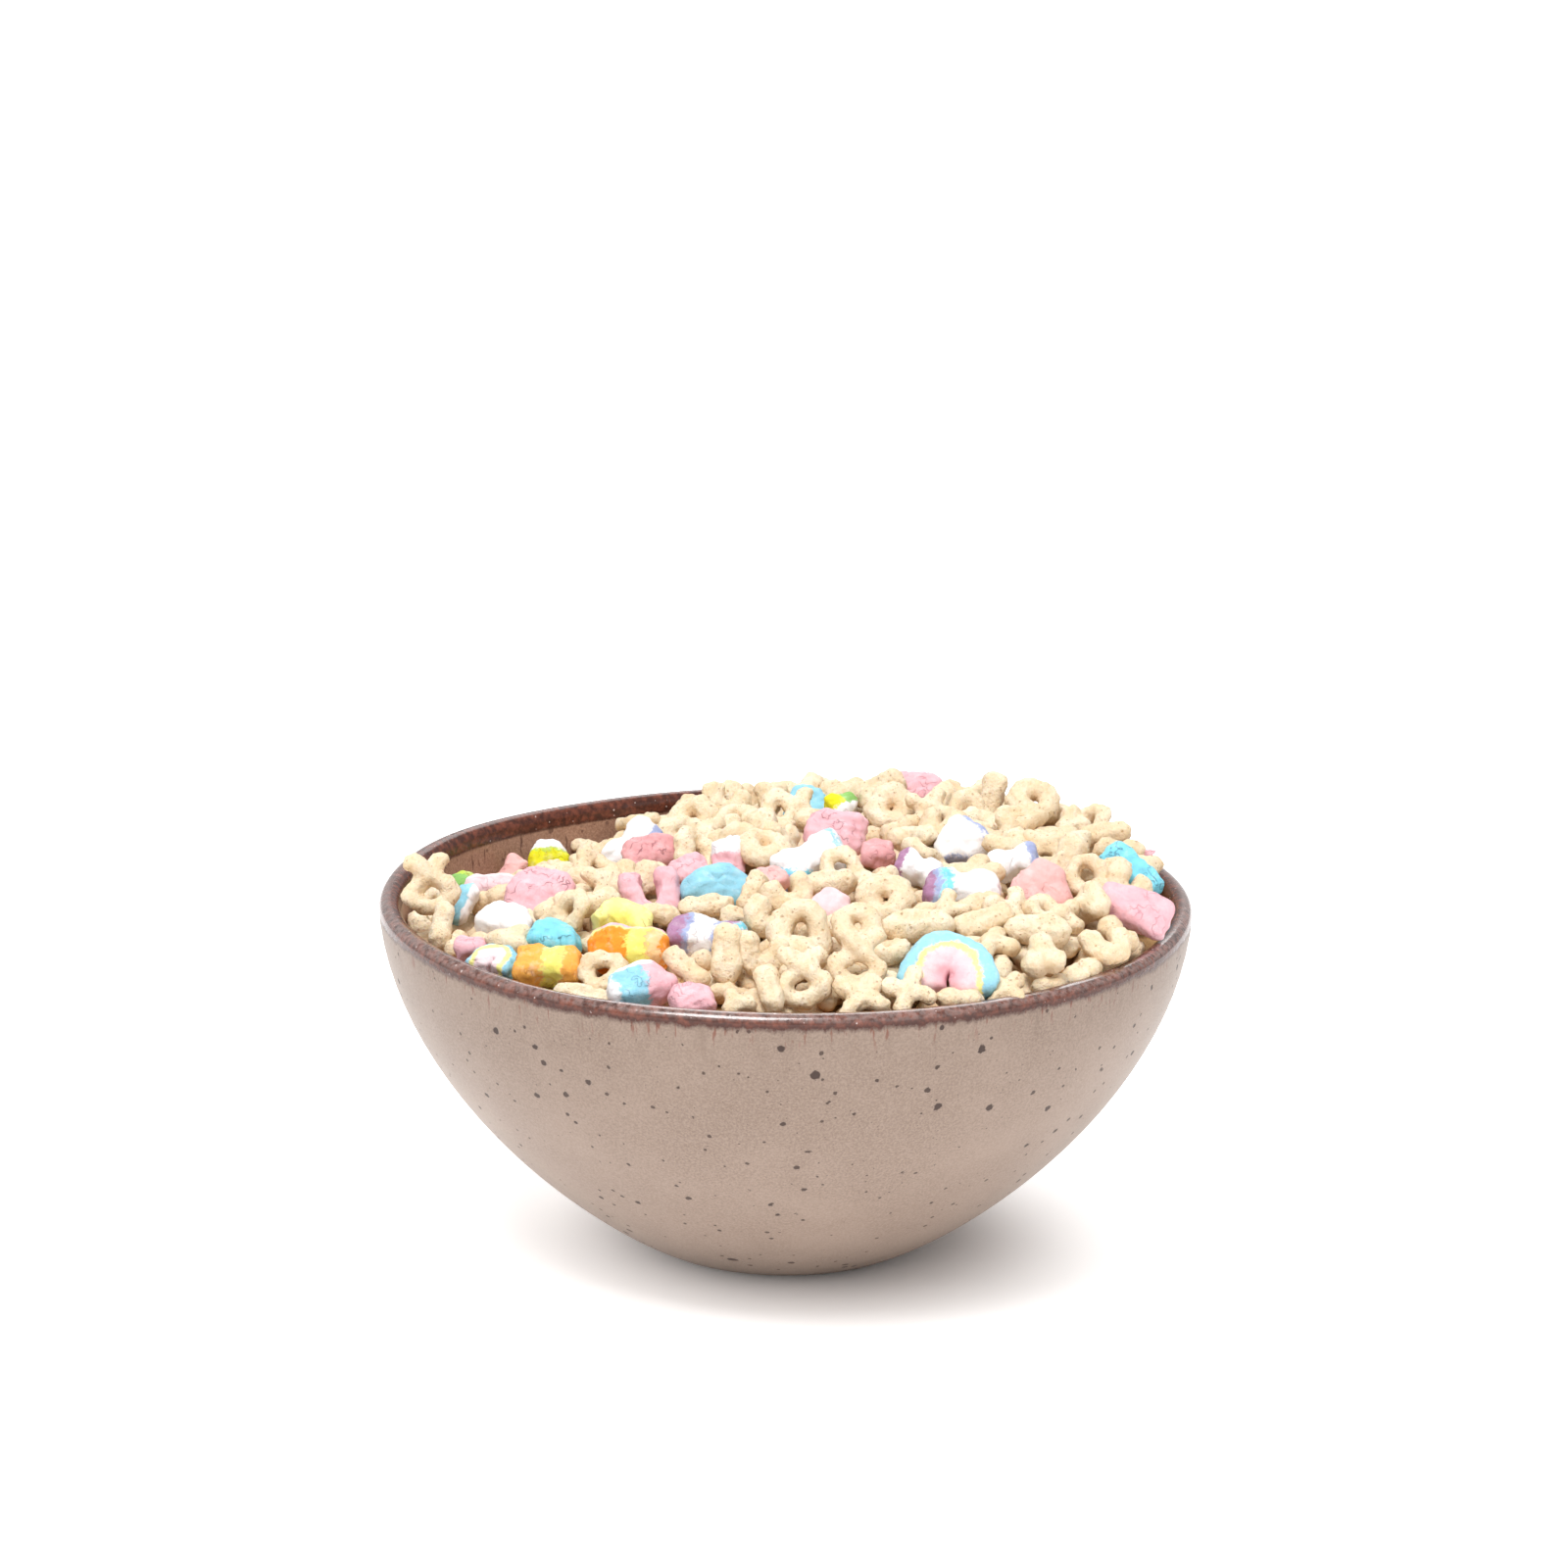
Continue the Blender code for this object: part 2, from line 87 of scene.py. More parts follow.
def stack(*parts: np.ndarray | float) -> np.ndarray:
    """Coordinates of any matching shapes as one array, whose last axis is the coordinate."""
    return np.stack(np.broadcast_arrays(*parts), axis=-1)


def around(count: int) -> np.ndarray:
    """Evenly spaced angles once round a circle, in radians, without the last."""
    return np.linspace(0.0, TURN, count, endpoint=False)


def length_of(vectors: np.ndarray) -> np.ndarray:
    """Each vector's length, with the last axis kept."""
    return np.linalg.norm(vectors, axis=-1, keepdims=True)


def travelled(points: np.ndarray) -> np.ndarray:
    """The distance from the first point of a line to each of its points."""
    return np.concatenate([[0.0], np.cumsum(np.linalg.norm(np.diff(points, axis=0), axis=-1))])


def superellipse(angle: np.ndarray, power: float) -> np.ndarray:
    """The radius of |x|^power + |y|^power = 1 at each angle."""
    return (np.abs(np.cos(angle)) ** power + np.abs(np.sin(angle)) ** power) ** (-1.0 / power)


def turn_matrix(spin: float, tilt: float, yaw: float) -> np.ndarray:
    """Spin about a piece's own short axis, tilt about X, then yaw about Z, as a 3 by 3 matrix.

    Args:
        spin: The first turn, in degrees.
        tilt: The second.
        yaw: The third.

    Returns:
        The turn, for column vectors.
    """
    angles = ((yaw, "Z"), (tilt, "X"), (spin, "Z"))
    turns = [np.array(Matrix.Rotation(math.radians(angle), 3, axis)) for angle, axis in angles]
    return turns[0] @ turns[1] @ turns[2]


def waves(points: np.ndarray, length: float, seed: int, count: int = 12) -> np.ndarray:
    """Smooth noise of spread 1: the sum of sine waves along random directions.

    Args:
        points: An array whose last axis is x, y, z.
        length: The waves' mean length, in the points' unit.
        seed: Picks the directions, lengths and phases.
        count: How many waves are added.

    Returns:
        The noise at each point.
    """
    random = np.random.default_rng(seed)
    ways = random.normal(size=(3, count))
    ways *= random.uniform(0.7, 1.5, count) / np.linalg.norm(ways, axis=0)
    phase = random.uniform(0.0, TURN, count)
    return np.sin(points @ ways * (TURN / length) + phase).sum(axis=-1) * math.sqrt(2.0 / count)


# ---------------------------------------------------------------------------------------- meshes


@dataclass
class Skin:
    """A mesh as arrays: points, faces as index rows, and what its points are marked with."""

    points: np.ndarray
    faces: list[np.ndarray]
    marks: dict[str, np.ndarray] = field(default_factory=dict)

    def make(self, name: str, material: bpy.types.Material) -> bpy.types.Object:
        """A smooth-shaded object of the skin.

        Args:
            name: The piece's name.
            material: Its finish.

        Returns:
            The linked object, at the origin.
        """
        mesh = bpy.data.meshes.new(name)
        rows = [row for block in self.faces for row in block.tolist()]
        mesh.from_pydata(self.points, [], rows)
        for mark, values in self.marks.items():
            kind, key = ("FLOAT_VECTOR", "vector") if values.ndim == 2 else ("FLOAT", "value")
            layer = mesh.attributes.new(mark, kind, "POINT")
            layer.data.foreach_set(key, values.astype(np.float32).ravel())
        mesh.materials.append(material)
        mesh.shade_smooth()
        piece = bpy.data.objects.new(name, mesh)
        bpy.context.scene.collection.objects.link(piece)
        return piece


def joined(skins: Sequence[Skin]) -> Skin:
    """Several skins as one, with every mark that the first one has.

    Args:
        skins: What is joined, in order.

    Returns:
        The one skin.
    """
    starts = np.cumsum([0] + [len(skin.points) for skin in skins[:-1]])
    faces = [block + start for skin, start in zip(skins, starts) for block in skin.faces]
    marks = {mark: np.concatenate([skin.marks[mark] for skin in skins]) for mark in skins[0].marks}
    return Skin(np.concatenate([skin.points for skin in skins]), faces, marks)


def ring_normals(rings: np.ndarray) -> np.ndarray:
    """Outward directions on closed rings of points: the cross product of the two ways along the grid.

    Args:
        rings: Points as (ring, place in the ring, xyz).

    Returns:
        Unit vectors of the same shape, pointing away from the rings' own middles.
    """
    across = np.roll(rings, -1, axis=1) - np.roll(rings, 1, axis=1)
    normals = np.cross(across, np.gradient(rings, axis=0))
    normals /= length_of(normals) + TINY
    outward = rings - rings.mean(axis=1, keepdims=True)
    return normals if (normals * outward).sum() > 0.0 else -normals


def ring_skin(rings: np.ndarray, ends_meet: bool = False) -> Skin:
    """A closed skin over rings of points: quads between rings, and a fan to a pole over each end.

    Args:
        rings: Points as (ring, place in the ring, xyz).
        ends_meet: Whether the last ring runs on into the first, as on a tyre, with no poles.

    Returns:
        The skin, its faces pointing outwards.
    """
    count, sides = rings.shape[:2]
    index = np.arange(count * sides).reshape(count, sides)
    after = np.roll(index, -1, axis=1)
    upper = np.roll(index, -1, axis=0) if ends_meet else index[1:]
    upper_after = np.roll(upper, -1, axis=1)
    lower, lower_after = (index, after) if ends_meet else (index[:-1], after[:-1])
    points = rings.reshape(-1, 3)
    faces = [stack(lower, lower_after, upper_after, upper).reshape(-1, 4)]
    if not ends_meet:
        first, last = len(points), len(points) + 1
        faces += [stack(first, after[0], index[0]), stack(last, index[-1], after[-1])]
        points = np.concatenate([points, rings[:1].mean(axis=1), rings[-1:].mean(axis=1)])
    across = np.roll(rings, -1, axis=1) - rings
    along = np.gradient(rings, axis=0)
    outward = rings - rings.mean(axis=1, keepdims=True)
    if (np.cross(across, along) * outward).sum() < 0.0:
        faces = [block[:, ::-1] for block in faces]
    return Skin(points, faces)


def with_poles(values: np.ndarray) -> np.ndarray:
    """Marks on rings as one list, with the means of the first and last ring for the two poles."""
    flat = values.reshape(-1, *values.shape[2:])
    return np.concatenate([flat, values[:1].mean(axis=1), values[-1:].mean(axis=1)])


# ------------------------------------------------------------------------------------ shader kit


class Link:
    """A socket's output, with the arithmetic that adds Math nodes to its recipe."""

    def __init__(self, recipe: "Recipe", socket: bpy.types.NodeSocket) -> None:
        """Holds the output and the recipe that it belongs to."""
        self.recipe = recipe
        self.socket = socket

    def other(self, name: str) -> "Link":
        """Another output of the same node."""
        return Link(self.recipe, self.socket.node.outputs[name])

    def math(self, operation: str, *values: "Link | float") -> "Link":
        """A Math node of this value and others."""
        inputs = dict(enumerate((self, *values)))
        return self.recipe.node("ShaderNodeMath", {"operation": operation}, inputs)

    def __add__(self, value: "Link | float") -> "Link":
        """self + value."""
        return self.math("ADD", value)

    def __sub__(self, value: "Link | float") -> "Link":
        """self - value."""
        return self.math("SUBTRACT", value)

    def __mul__(self, value: "Link | float") -> "Link":
        """self * value."""
        return self.math("MULTIPLY", value)

    def __rsub__(self, value: float) -> "Link":
        """value - self."""
        return self.recipe.node("ShaderNodeMath", {"operation": "SUBTRACT"}, {0: value, 1: self})

    __radd__ = __add__
    __rmul__ = __mul__

    def __abs__(self) -> "Link":
        """The size of the value, without its sign."""
        return self.math("ABSOLUTE")

    def highest(self, value: "Link | float") -> "Link":
        """The larger of the two."""
        return self.math("MAXIMUM", value)

    def ramp(self, low: float, high: float, start: float = 0.0, end: float = 1.0) -> "Link":
        """A smooth step from start to end, as the value goes from low to high.

        Args:
            low: Where the step begins.
            high: Where it is over.
            start: The result at low and before it.
            end: The result at high and past it.

        Returns:
            The step.
        """
        limits = {"From Min": low, "From Max": high, "To Min": start, "To Max": end}
        settings = {"interpolation_type": "SMOOTHSTEP"}
        return self.recipe.node("ShaderNodeMapRange", settings, {"Value": self, **limits})


class Recipe:
    """One material's node tree."""

    def __init__(self, name: str) -> None:
        """Starts an empty material.

        Args:
            name: The material's name.
        """
        self.material = bpy.data.materials.new(name)
        self.material.use_nodes = True
        self.tree = self.material.node_tree
        self.tree.nodes.clear()
        self.place = self.node("ShaderNodeTexCoord", output="Object")

    def node(
        self,
        kind: str,
        settings: dict[str, object] | None = None,
        inputs: dict[str | int, object] | None = None,
        output: str | int = 0,
    ) -> Link:
        """Adds a node, sets it up, then fills its sockets.

        Args:
            kind: The node type's own name.
            settings: The node's own properties.
            inputs: Values or links by socket name or number.
            output: The output to hand back.

        Returns:
            The output as a link.
        """
        made = self.tree.nodes.new(kind)
        for name, value in (settings or {}).items():
            setattr(made, name, value)
        for name, value in (inputs or {}).items():
            socket = made.inputs[name]
            if isinstance(value, Link):
                self.tree.links.new(value.socket, socket)
            elif isinstance(value, tuple) and socket.type == "RGBA":
                socket.default_value = (*value, 1.0)
            else:
                socket.default_value = value
        return Link(self, made.outputs[output])

    def mark(self, name: str, output: str = "Fac") -> Link:
        """What a mesh's points are marked with under a name."""
        settings = {"attribute_type": "GEOMETRY", "attribute_name": name}
        return self.node("ShaderNodeAttribute", settings, output=output)

    def mix(self, share: Link | float, low: Link | Triple, high: Link | Triple, way: str = "MIX") -> Link:
        """Two colours mixed by a share."""
        settings = {"data_type": "RGBA", "blend_type": way}
        return self.node("ShaderNodeMix", settings, {0: share, 6: low, 7: high}, 2)

    def coats(self, colour: Link | Triple, *coats: tuple[Link, Link | Triple]) -> Link:
        """A colour with others laid over it in turn, each by its own mask.

        Args:
            colour: The ground.
            *coats: Pairs of a mask and the colour that it lays on.

        Returns:
            The topmost colour.
        """
        for mask, over in coats:
            colour = self.mix(mask, colour, over)
        return colour

    def vector(self, operation: str, first: Link, second: Triple, output: str = "Vector") -> Link:
        """A Vector Math node of a vector and a fixed one."""
        return self.node("ShaderNodeVectorMath", {"operation": operation}, {0: first, 1: second}, output)

    def noise(self, size: float, detail: float = 2.0, rough: float = 0.5, place: Link | None = None) -> Link:
        """Noise from 0 to 1 whose lumps are about size millimetres wide."""
        inputs = {"Vector": place or self.place, "Scale": 1.0 / (size * MM), "Detail": detail}
        return self.node("ShaderNodeTexNoise", {}, {**inputs, "Roughness": rough})

    def specks(self, pitch: float, radius: float, share: float) -> Link:
        """Scattered ragged spots, 1 inside and 0 outside.

        Args:
            pitch: The mean distance between the places where a spot may be, in millimetres.
            radius: The largest spot's radius, in millimetres.
            share: The share of those places that hold a spot.

        Returns:
            The spots' mask.
        """
        ragged = self.noise(radius, 2.0, 0.6)
        inputs = {"Vector": self.place, "Scale": 1.0 / (pitch * MM)}
        cell = self.node("ShaderNodeTexVoronoi", {"feature": "F1"}, inputs, "Distance")
        chance = self.node("ShaderNodeSeparateColor", {}, {0: cell.other("Color")}, "Red")
        size = chance.math("GREATER_THAN", 1.0 - share) * (radius / pitch)
        size = size * (chance.other("Green") * 0.6 + 0.4)
        return (size - cell + (ragged - 0.5) * size).ramp(0.0, 0.22 * radius / pitch)

    def bump(self, height: Link, distance: float) -> Link:
        """A Bump node: relief of a height from 0 to 1 that stands distance millimetres proud."""
        inputs = {"Height": height, "Distance": distance * MM, "Strength": 1.0}
        return self.node("ShaderNodeBump", {}, inputs)

    def finish(self, **sockets: object) -> bpy.types.Material:
        """Closes the tree with a Principled shader.

        Args:
            **sockets: Its sockets by name, with _ for a space.

        Returns:
            The material.
        """
        inputs = {name.replace("_", " "): value for name, value in sockets.items()}
        shader = self.node("ShaderNodeBsdfPrincipled", {}, inputs)
        output = self.tree.nodes.new("ShaderNodeOutputMaterial")
        self.tree.links.new(shader.socket, output.inputs["Surface"])
        return self.material


# -------------------------------------------------------------------------------------- finishes


@dataclass(frozen=True)
class SpeckledGlaze:
    """Warm taupe stoneware glaze with iron specks, a bare brown lip with a painted highlight along its crest,
    and a darker streaked inside.

    The lip's edges are in millimetres down from its crest, less than 0 towards the inside.
    """

    body: Triple = shade(144, 124, 110)
    body_pale: Triple = shade(164, 144, 130)
    body_deep: Triple = shade(114, 94, 80)
    iron: Triple = shade(50, 30, 24)
    lip: Triple = shade(120, 66, 50)
    lip_deep: Triple = shade(70, 38, 30)
    # Pale specks on the lip, and the colour of the painted highlight along its crest.
    lip_pale_and_highlight: Triple = shade(206, 186, 180)
    inside: Triple = shade(186, 148, 126)
    inside_deep: Triple = shade(146, 110, 92)
    lip_outer: tuple[float, float] = (2.9, 3.5)
    lip_inner: tuple[float, float] = (-4.9, -4.2)
    relief: float = 0.1

    def dress(self) -> bpy.types.Material:
        """The glaze, laid out by each point's distance down from the lip's crest.

        Returns:
            The material.
        """
        r = Recipe("speckled_glaze")
        down = r.mark("down")
        tall = r.vector("MULTIPLY", r.place, (1.0, 1.0, 0.16))
        grain, rim_noise = r.noise(0.42, 3.0, 0.7), r.noise(1.3, 3.0, 0.6)
        cloud, drips = r.noise(16.0, 3.0, 0.55), r.noise(2.4, 3.0, 0.6, tall)
        runs = r.noise(0.8, 2.0, 0.55, tall).ramp(0.6, 0.7) * down.ramp(3.0, 8.5, 0.85, 0.0)
        spots = (r.specks(2.4, 0.46, 0.55) * 0.85).highest(r.specks(7.0, 1.05, 0.6))
        spots = spots.highest(r.specks(4.4, 0.74, 0.7) * 0.95).highest(r.specks(1.1, 0.17, 0.6) * 0.45)
        body = r.coats(
            r.mix(0.5, r.mix(grain.ramp(0.3, 0.72), self.body_deep, self.body_pale), self.body),
            (cloud.ramp(0.35, 0.7) * 0.28, self.body_pale),
            (down.ramp(2.0, 15.0, 1.0, 0.0) * drips.ramp(0.45, 0.75) * 0.4, self.body_deep),
            (runs, self.lip),
            (spots * 0.92, self.iron),
        )
        streaks = r.noise(0.9, 2.0, 0.5, tall).ramp(0.62, 0.72)
        inside = r.coats(
            r.mix(grain.ramp(0.3, 0.75), self.inside_deep, self.inside),
            (streaks * down.ramp(-16.0, -5.0, 0.0, 1.0) * 0.8, self.lip_deep),
            (spots * 0.6, self.lip_deep),
        )
        # Painted highlight: a pale band along the lip's crest, broken by noise.
        painted_crest_highlight = abs(down - 0.9).ramp(0.4, 1.6, 1.0, 0.0) * r.noise(1.0, 3.0, 0.7).ramp(0.3, 0.62, 0.0, 0.25)
        rim = r.coats(
            r.mix(rim_noise.ramp(0.35, 0.7), self.lip_deep, self.lip),
            (r.specks(1.1, 0.22, 0.16) * 0.85, self.lip_pale_and_highlight),
            (painted_crest_highlight, self.lip_pale_and_highlight),
            (r.specks(2.6, 0.3, 0.7) * 0.8, self.lip_pale_and_highlight),
        )
        wobble = (drips - 0.5) * 2.2 + (grain - 0.5) * 0.8
        outer = (down + wobble).ramp(*self.lip_outer)
        inner = (down - wobble * 0.5).ramp(*self.lip_inner, 1.0, 0.0)
        edge = abs(down + wobble - 3.1).ramp(0.0, 1.0, 0.7, 0.0)
        edge = edge.highest(abs(down + 4.5).ramp(0.0, 0.5, 0.75, 0.0))
        colour = r.mix(outer, r.mix(inner, rim, inside), body)
        bare = (1.0 - outer) * (1.0 - inner)
        relief = grain * 0.12 + spots * -0.4 + bare * rim_noise * 0.8 + r.noise(0.3, 2.0) * 0.12
        return r.finish(
            Base_Color=r.mix(edge, colour, self.lip_deep),
            Roughness=bare * (rim_noise * 0.24 - 0.3) + 0.36 + spots * 0.1 + grain * 0.08,
            IOR=1.4,
            Coat_Weight=bare * abs(down - 1.0).ramp(0.8, 1.8, 0.9, 0.0),
            Coat_Roughness=0.14,
            Normal=r.bump(relief, self.relief),
        )


@dataclass(frozen=True)
class ToastedOat:
    """Pale toasted oat dough, flecked with bran and pricked with pits, browned in its hollows and pits as
    painted shade.
    """

    crust: Triple = shade(236, 215, 180)
    pale: Triple = shade(247, 234, 209)
    toast: Triple = shade(218, 178, 124)
    # The colour of the painted shade in hollows, pits, undersides and deep in the heap.
    hollow: Triple = shade(200, 148, 90)
    bran: Triple = shade(146, 100, 62)
    relief: float = 0.32

    def dress(self, name: str = "toasted_oat") -> bpy.types.Material:
        """The dough, with each piece's own tone and each point's painted shade from the mesh.

        Args:
            name: The material's name.

        Returns:
            The material.
        """
        r = Recipe(name)
        patch, fine, lumps = r.noise(3.2, 3.0, 0.6), r.noise(0.35, 3.0, 0.7), r.noise(0.75, 3.0, 0.65)
        flecks, bran, pits = r.specks(0.9, 0.15, 0.8), r.specks(2.0, 0.34, 0.7), r.specks(1.3, 0.26, 0.8)
        colour = r.coats(
            r.mix(patch.ramp(0.3, 0.7), self.crust, self.pale),
            (lumps.ramp(0.5, 0.3) * 0.35, self.toast),
            (r.mark("tone") * 0.4, self.toast),
            # Painted shade by the mesh's mark: hollows, undersides and points sunk in the heap are browned.
            (r.mark("hollow") * 0.7, self.hollow),
            (fine.ramp(0.5, 0.8) * 0.35, self.toast),
            (flecks * 0.6, self.bran),
            (bran * 0.5, self.bran),
            # Painted shade in the pits.
            (pits * 0.5, self.hollow),
        )
        relief = fine * 0.5 + lumps * 1.4 - pits * 0.9
        return r.finish(
            Base_Color=colour,
            Roughness=fine * 0.2 + 0.62,
            IOR=1.42,
            Subsurface_Weight=0.12,
            Subsurface_Radius=(1.0, 0.55, 0.25),
            Subsurface_Scale=0.0012,
            Normal=r.bump(relief, self.relief),
        )


@dataclass(frozen=True)
class Band:
    """A stripe of colour across a piece.

    way is the direction that crosses it, in the piece's half length, half width and half thickness,
    and the stripe runs from start to end along that way.
    """

    way: Triple
    start: float
    end: float
    colour: Triple
    soft: float = 0.08


@dataclass(frozen=True)
class MarshmallowPowder:
    """Chalky dried marshmallow: soft stripes of food colour under powder, with fine creases.

    shaded is what its colour is multiplied by in random darker patches; the next tint darkens it along the
    fine creases, as painted shade in them.
    """

    base: Triple
    bands: tuple[Band, ...] = ()
    crease: float = 0.35
    grain: float = 0.5
    shaded: Triple = (0.80, 0.70, 0.74)
    # The tint of the painted shade along the creases.
    crease_shade: Triple = (0.60, 0.42, 0.50)
    chalk: Triple = (0.95, 0.94, 0.95)
    relief: float = 0.28

    def dress(self, name: str) -> bpy.types.Material:
        """The powder, laid out by each point's own place in its piece.

        Args:
            name: The material's name.

        Returns:
            The material.
        """
        r = Recipe(name)
        lay = r.mark("lay", "Vector")
        warp = (r.noise(2.6, 2.0) - 0.5) * 0.5 + (r.noise(0.7, 3.0) - 0.5) * 0.4
        colour = self.base
        for band in self.bands:
            along = r.vector("DOT_PRODUCT", lay, band.way, "Value") + warp
            inside = along.ramp(band.start - band.soft, band.start + band.soft)
            inside = inside * along.ramp(band.end - band.soft, band.end + band.soft, 1.0, 0.0)
            colour = r.mix(inside, colour, band.colour)
        deep = r.mix(1.0, colour, self.shaded, "MULTIPLY")
        patch, fine = r.noise(1.9, 3.0, 0.6), r.noise(0.26, 3.0, 0.7)
        patches, specks = patch.ramp(0.45, 0.8) * self.grain * 0.7, fine.ramp(0.5, 0.8) * self.grain * 0.45
        colour = r.coats(colour, (patches, deep), (specks, deep))
        # Painted shade: the colour is darkened along the fine creases, which the bump also sinks.
        folds = abs(r.noise(2.3, 2.0, 0.5) - 0.5).ramp(0.0, 0.022, 1.0, 0.0)
        folds = folds * r.noise(4.0, 1.0).ramp(0.45, 0.65)
        crease_shaded = r.mix(1.0, colour, self.crease_shade, "MULTIPLY")
        chalk = patch.ramp(0.5, 0.25, 0.0, 0.22)
        colour = r.coats(colour, (folds * self.crease, crease_shaded), (chalk, self.chalk))
        relief = fine * 0.55 + patch * 0.9 - folds * self.crease * 1.6
        return r.finish(
            Base_Color=colour,
            Roughness=fine * 0.12 + 0.8,
            IOR=1.4,
            Subsurface_Weight=0.15,
            Subsurface_Radius=(1.0, 0.6, 0.6),
            Subsurface_Scale=0.001,
            Normal=r.bump(relief, self.relief),
        )


# ------------------------------------------------------------------------------------- the bowl


@dataclass
class Bowl:
    """The stoneware bowl, turned from one profile, with the small unevenness of the wheel."""

    rim_radius: float = 73.0
    height: float = 64.6
    foot_radius: float = 23.6
    wall: float = 3.8
    floor: float = 5.5
    recess_radius: float = 17.5
    recess: float = 1.0
    outer_curve: tuple[float, float] = (1.85, 0.85)
    inner_curve: tuple[float, float] = (2.0, 0.62)
    poles: tuple[float, float] = (0.5, 0.4)
    foot_round: float = 0.8
    uneven: float = 0.14
    throwing: float = 0.035
    lift: float = 0.16
    steps: tuple[int, int, int, int] = (12, 54, 18, 56)
    sides: int = 240

    def inner_radius(self, height: np.ndarray) -> np.ndarray:
        """The inside's radius at heights over the foot: the mouth times (1 - (1 - share)^p)^q.

        Args:
            height: Heights over the foot, in millimetres.

        Returns:
            The radii there.
        """
        power, root = self.inner_curve
        share = np.clip((height - self.floor) / (self.height - self.floor), 0.0, 1.0)
        return (self.rim_radius - self.wall) * (1.0 - (1.0 - share) ** power) ** root

    def profile(self) -> np.ndarray:
        """(radius, height) from the recess's middle over the lip to the floor's middle.

        Returns:
            The profile's points, as rows of radius and height.
        """
        power, root = self.outer_curve
        half = 0.5 * self.wall
        under, outside, crest, inside = self.steps
        recess = stack(np.linspace(self.poles[0], self.recess_radius, under), self.recess)
        step = np.array([[self.recess_radius + self.recess, 0.0], [self.foot_radius - self.foot_round, 0.0]])
        share = np.linspace(0.012, 1.0 - half / self.height, outside)
        flare = (self.rim_radius - self.foot_radius) * (1.0 - (1.0 - share) ** power) ** root
        outer = stack(self.foot_radius + flare, share * self.height)
        angle = np.linspace(0.0, math.pi, crest)[1:-1]
        lip = stack(self.rim_radius - half + half * np.cos(angle), self.height - half + half * np.sin(angle))
        down = np.linspace(1.0, 0.0, inside) ** 1.6 * (self.height - half - self.floor) + self.floor
        inner = stack(np.maximum(self.inner_radius(down), self.poles[1]), down)
        return np.concatenate([recess, step, outer, lip, inner])

    def build(self) -> bpy.types.Object:
        """Turns the profile and marks each point with its distance from the lip's crest.

        Returns:
            The bowl.
        """
        profile = self.profile()
        travel = travelled(profile)
        crest = travel[int(np.argmax(profile[:, 1]))]
        angle = around(self.sides)
        round_x, round_y = np.cos(angle), np.sin(angle)
        circle = stack(round_x, round_y, 0.0)
        high = np.clip(profile[:, 1:] / self.height, 0.0, 1.0)
        uneven = self.uneven * waves(circle, 1.3, 3)[None] * high
        radius = profile[:, :1] + (uneven + self.throwing * np.sin(profile[:, 1:] * 1.9) * high)
        lift = self.lift * waves(circle, 1.1, 5)[None] * high**4
        skin = ring_skin(stack(radius * round_x, radius * round_y, profile[:, 1:] + lift) * MM)
        skin.marks["down"] = with_poles(np.repeat((crest - travel)[:, None], self.sides, axis=1))
        return skin.make("stoneware_bowl", SpeckledGlaze().dress())


# ----------------------------------------------------------------------------- the heap's ground


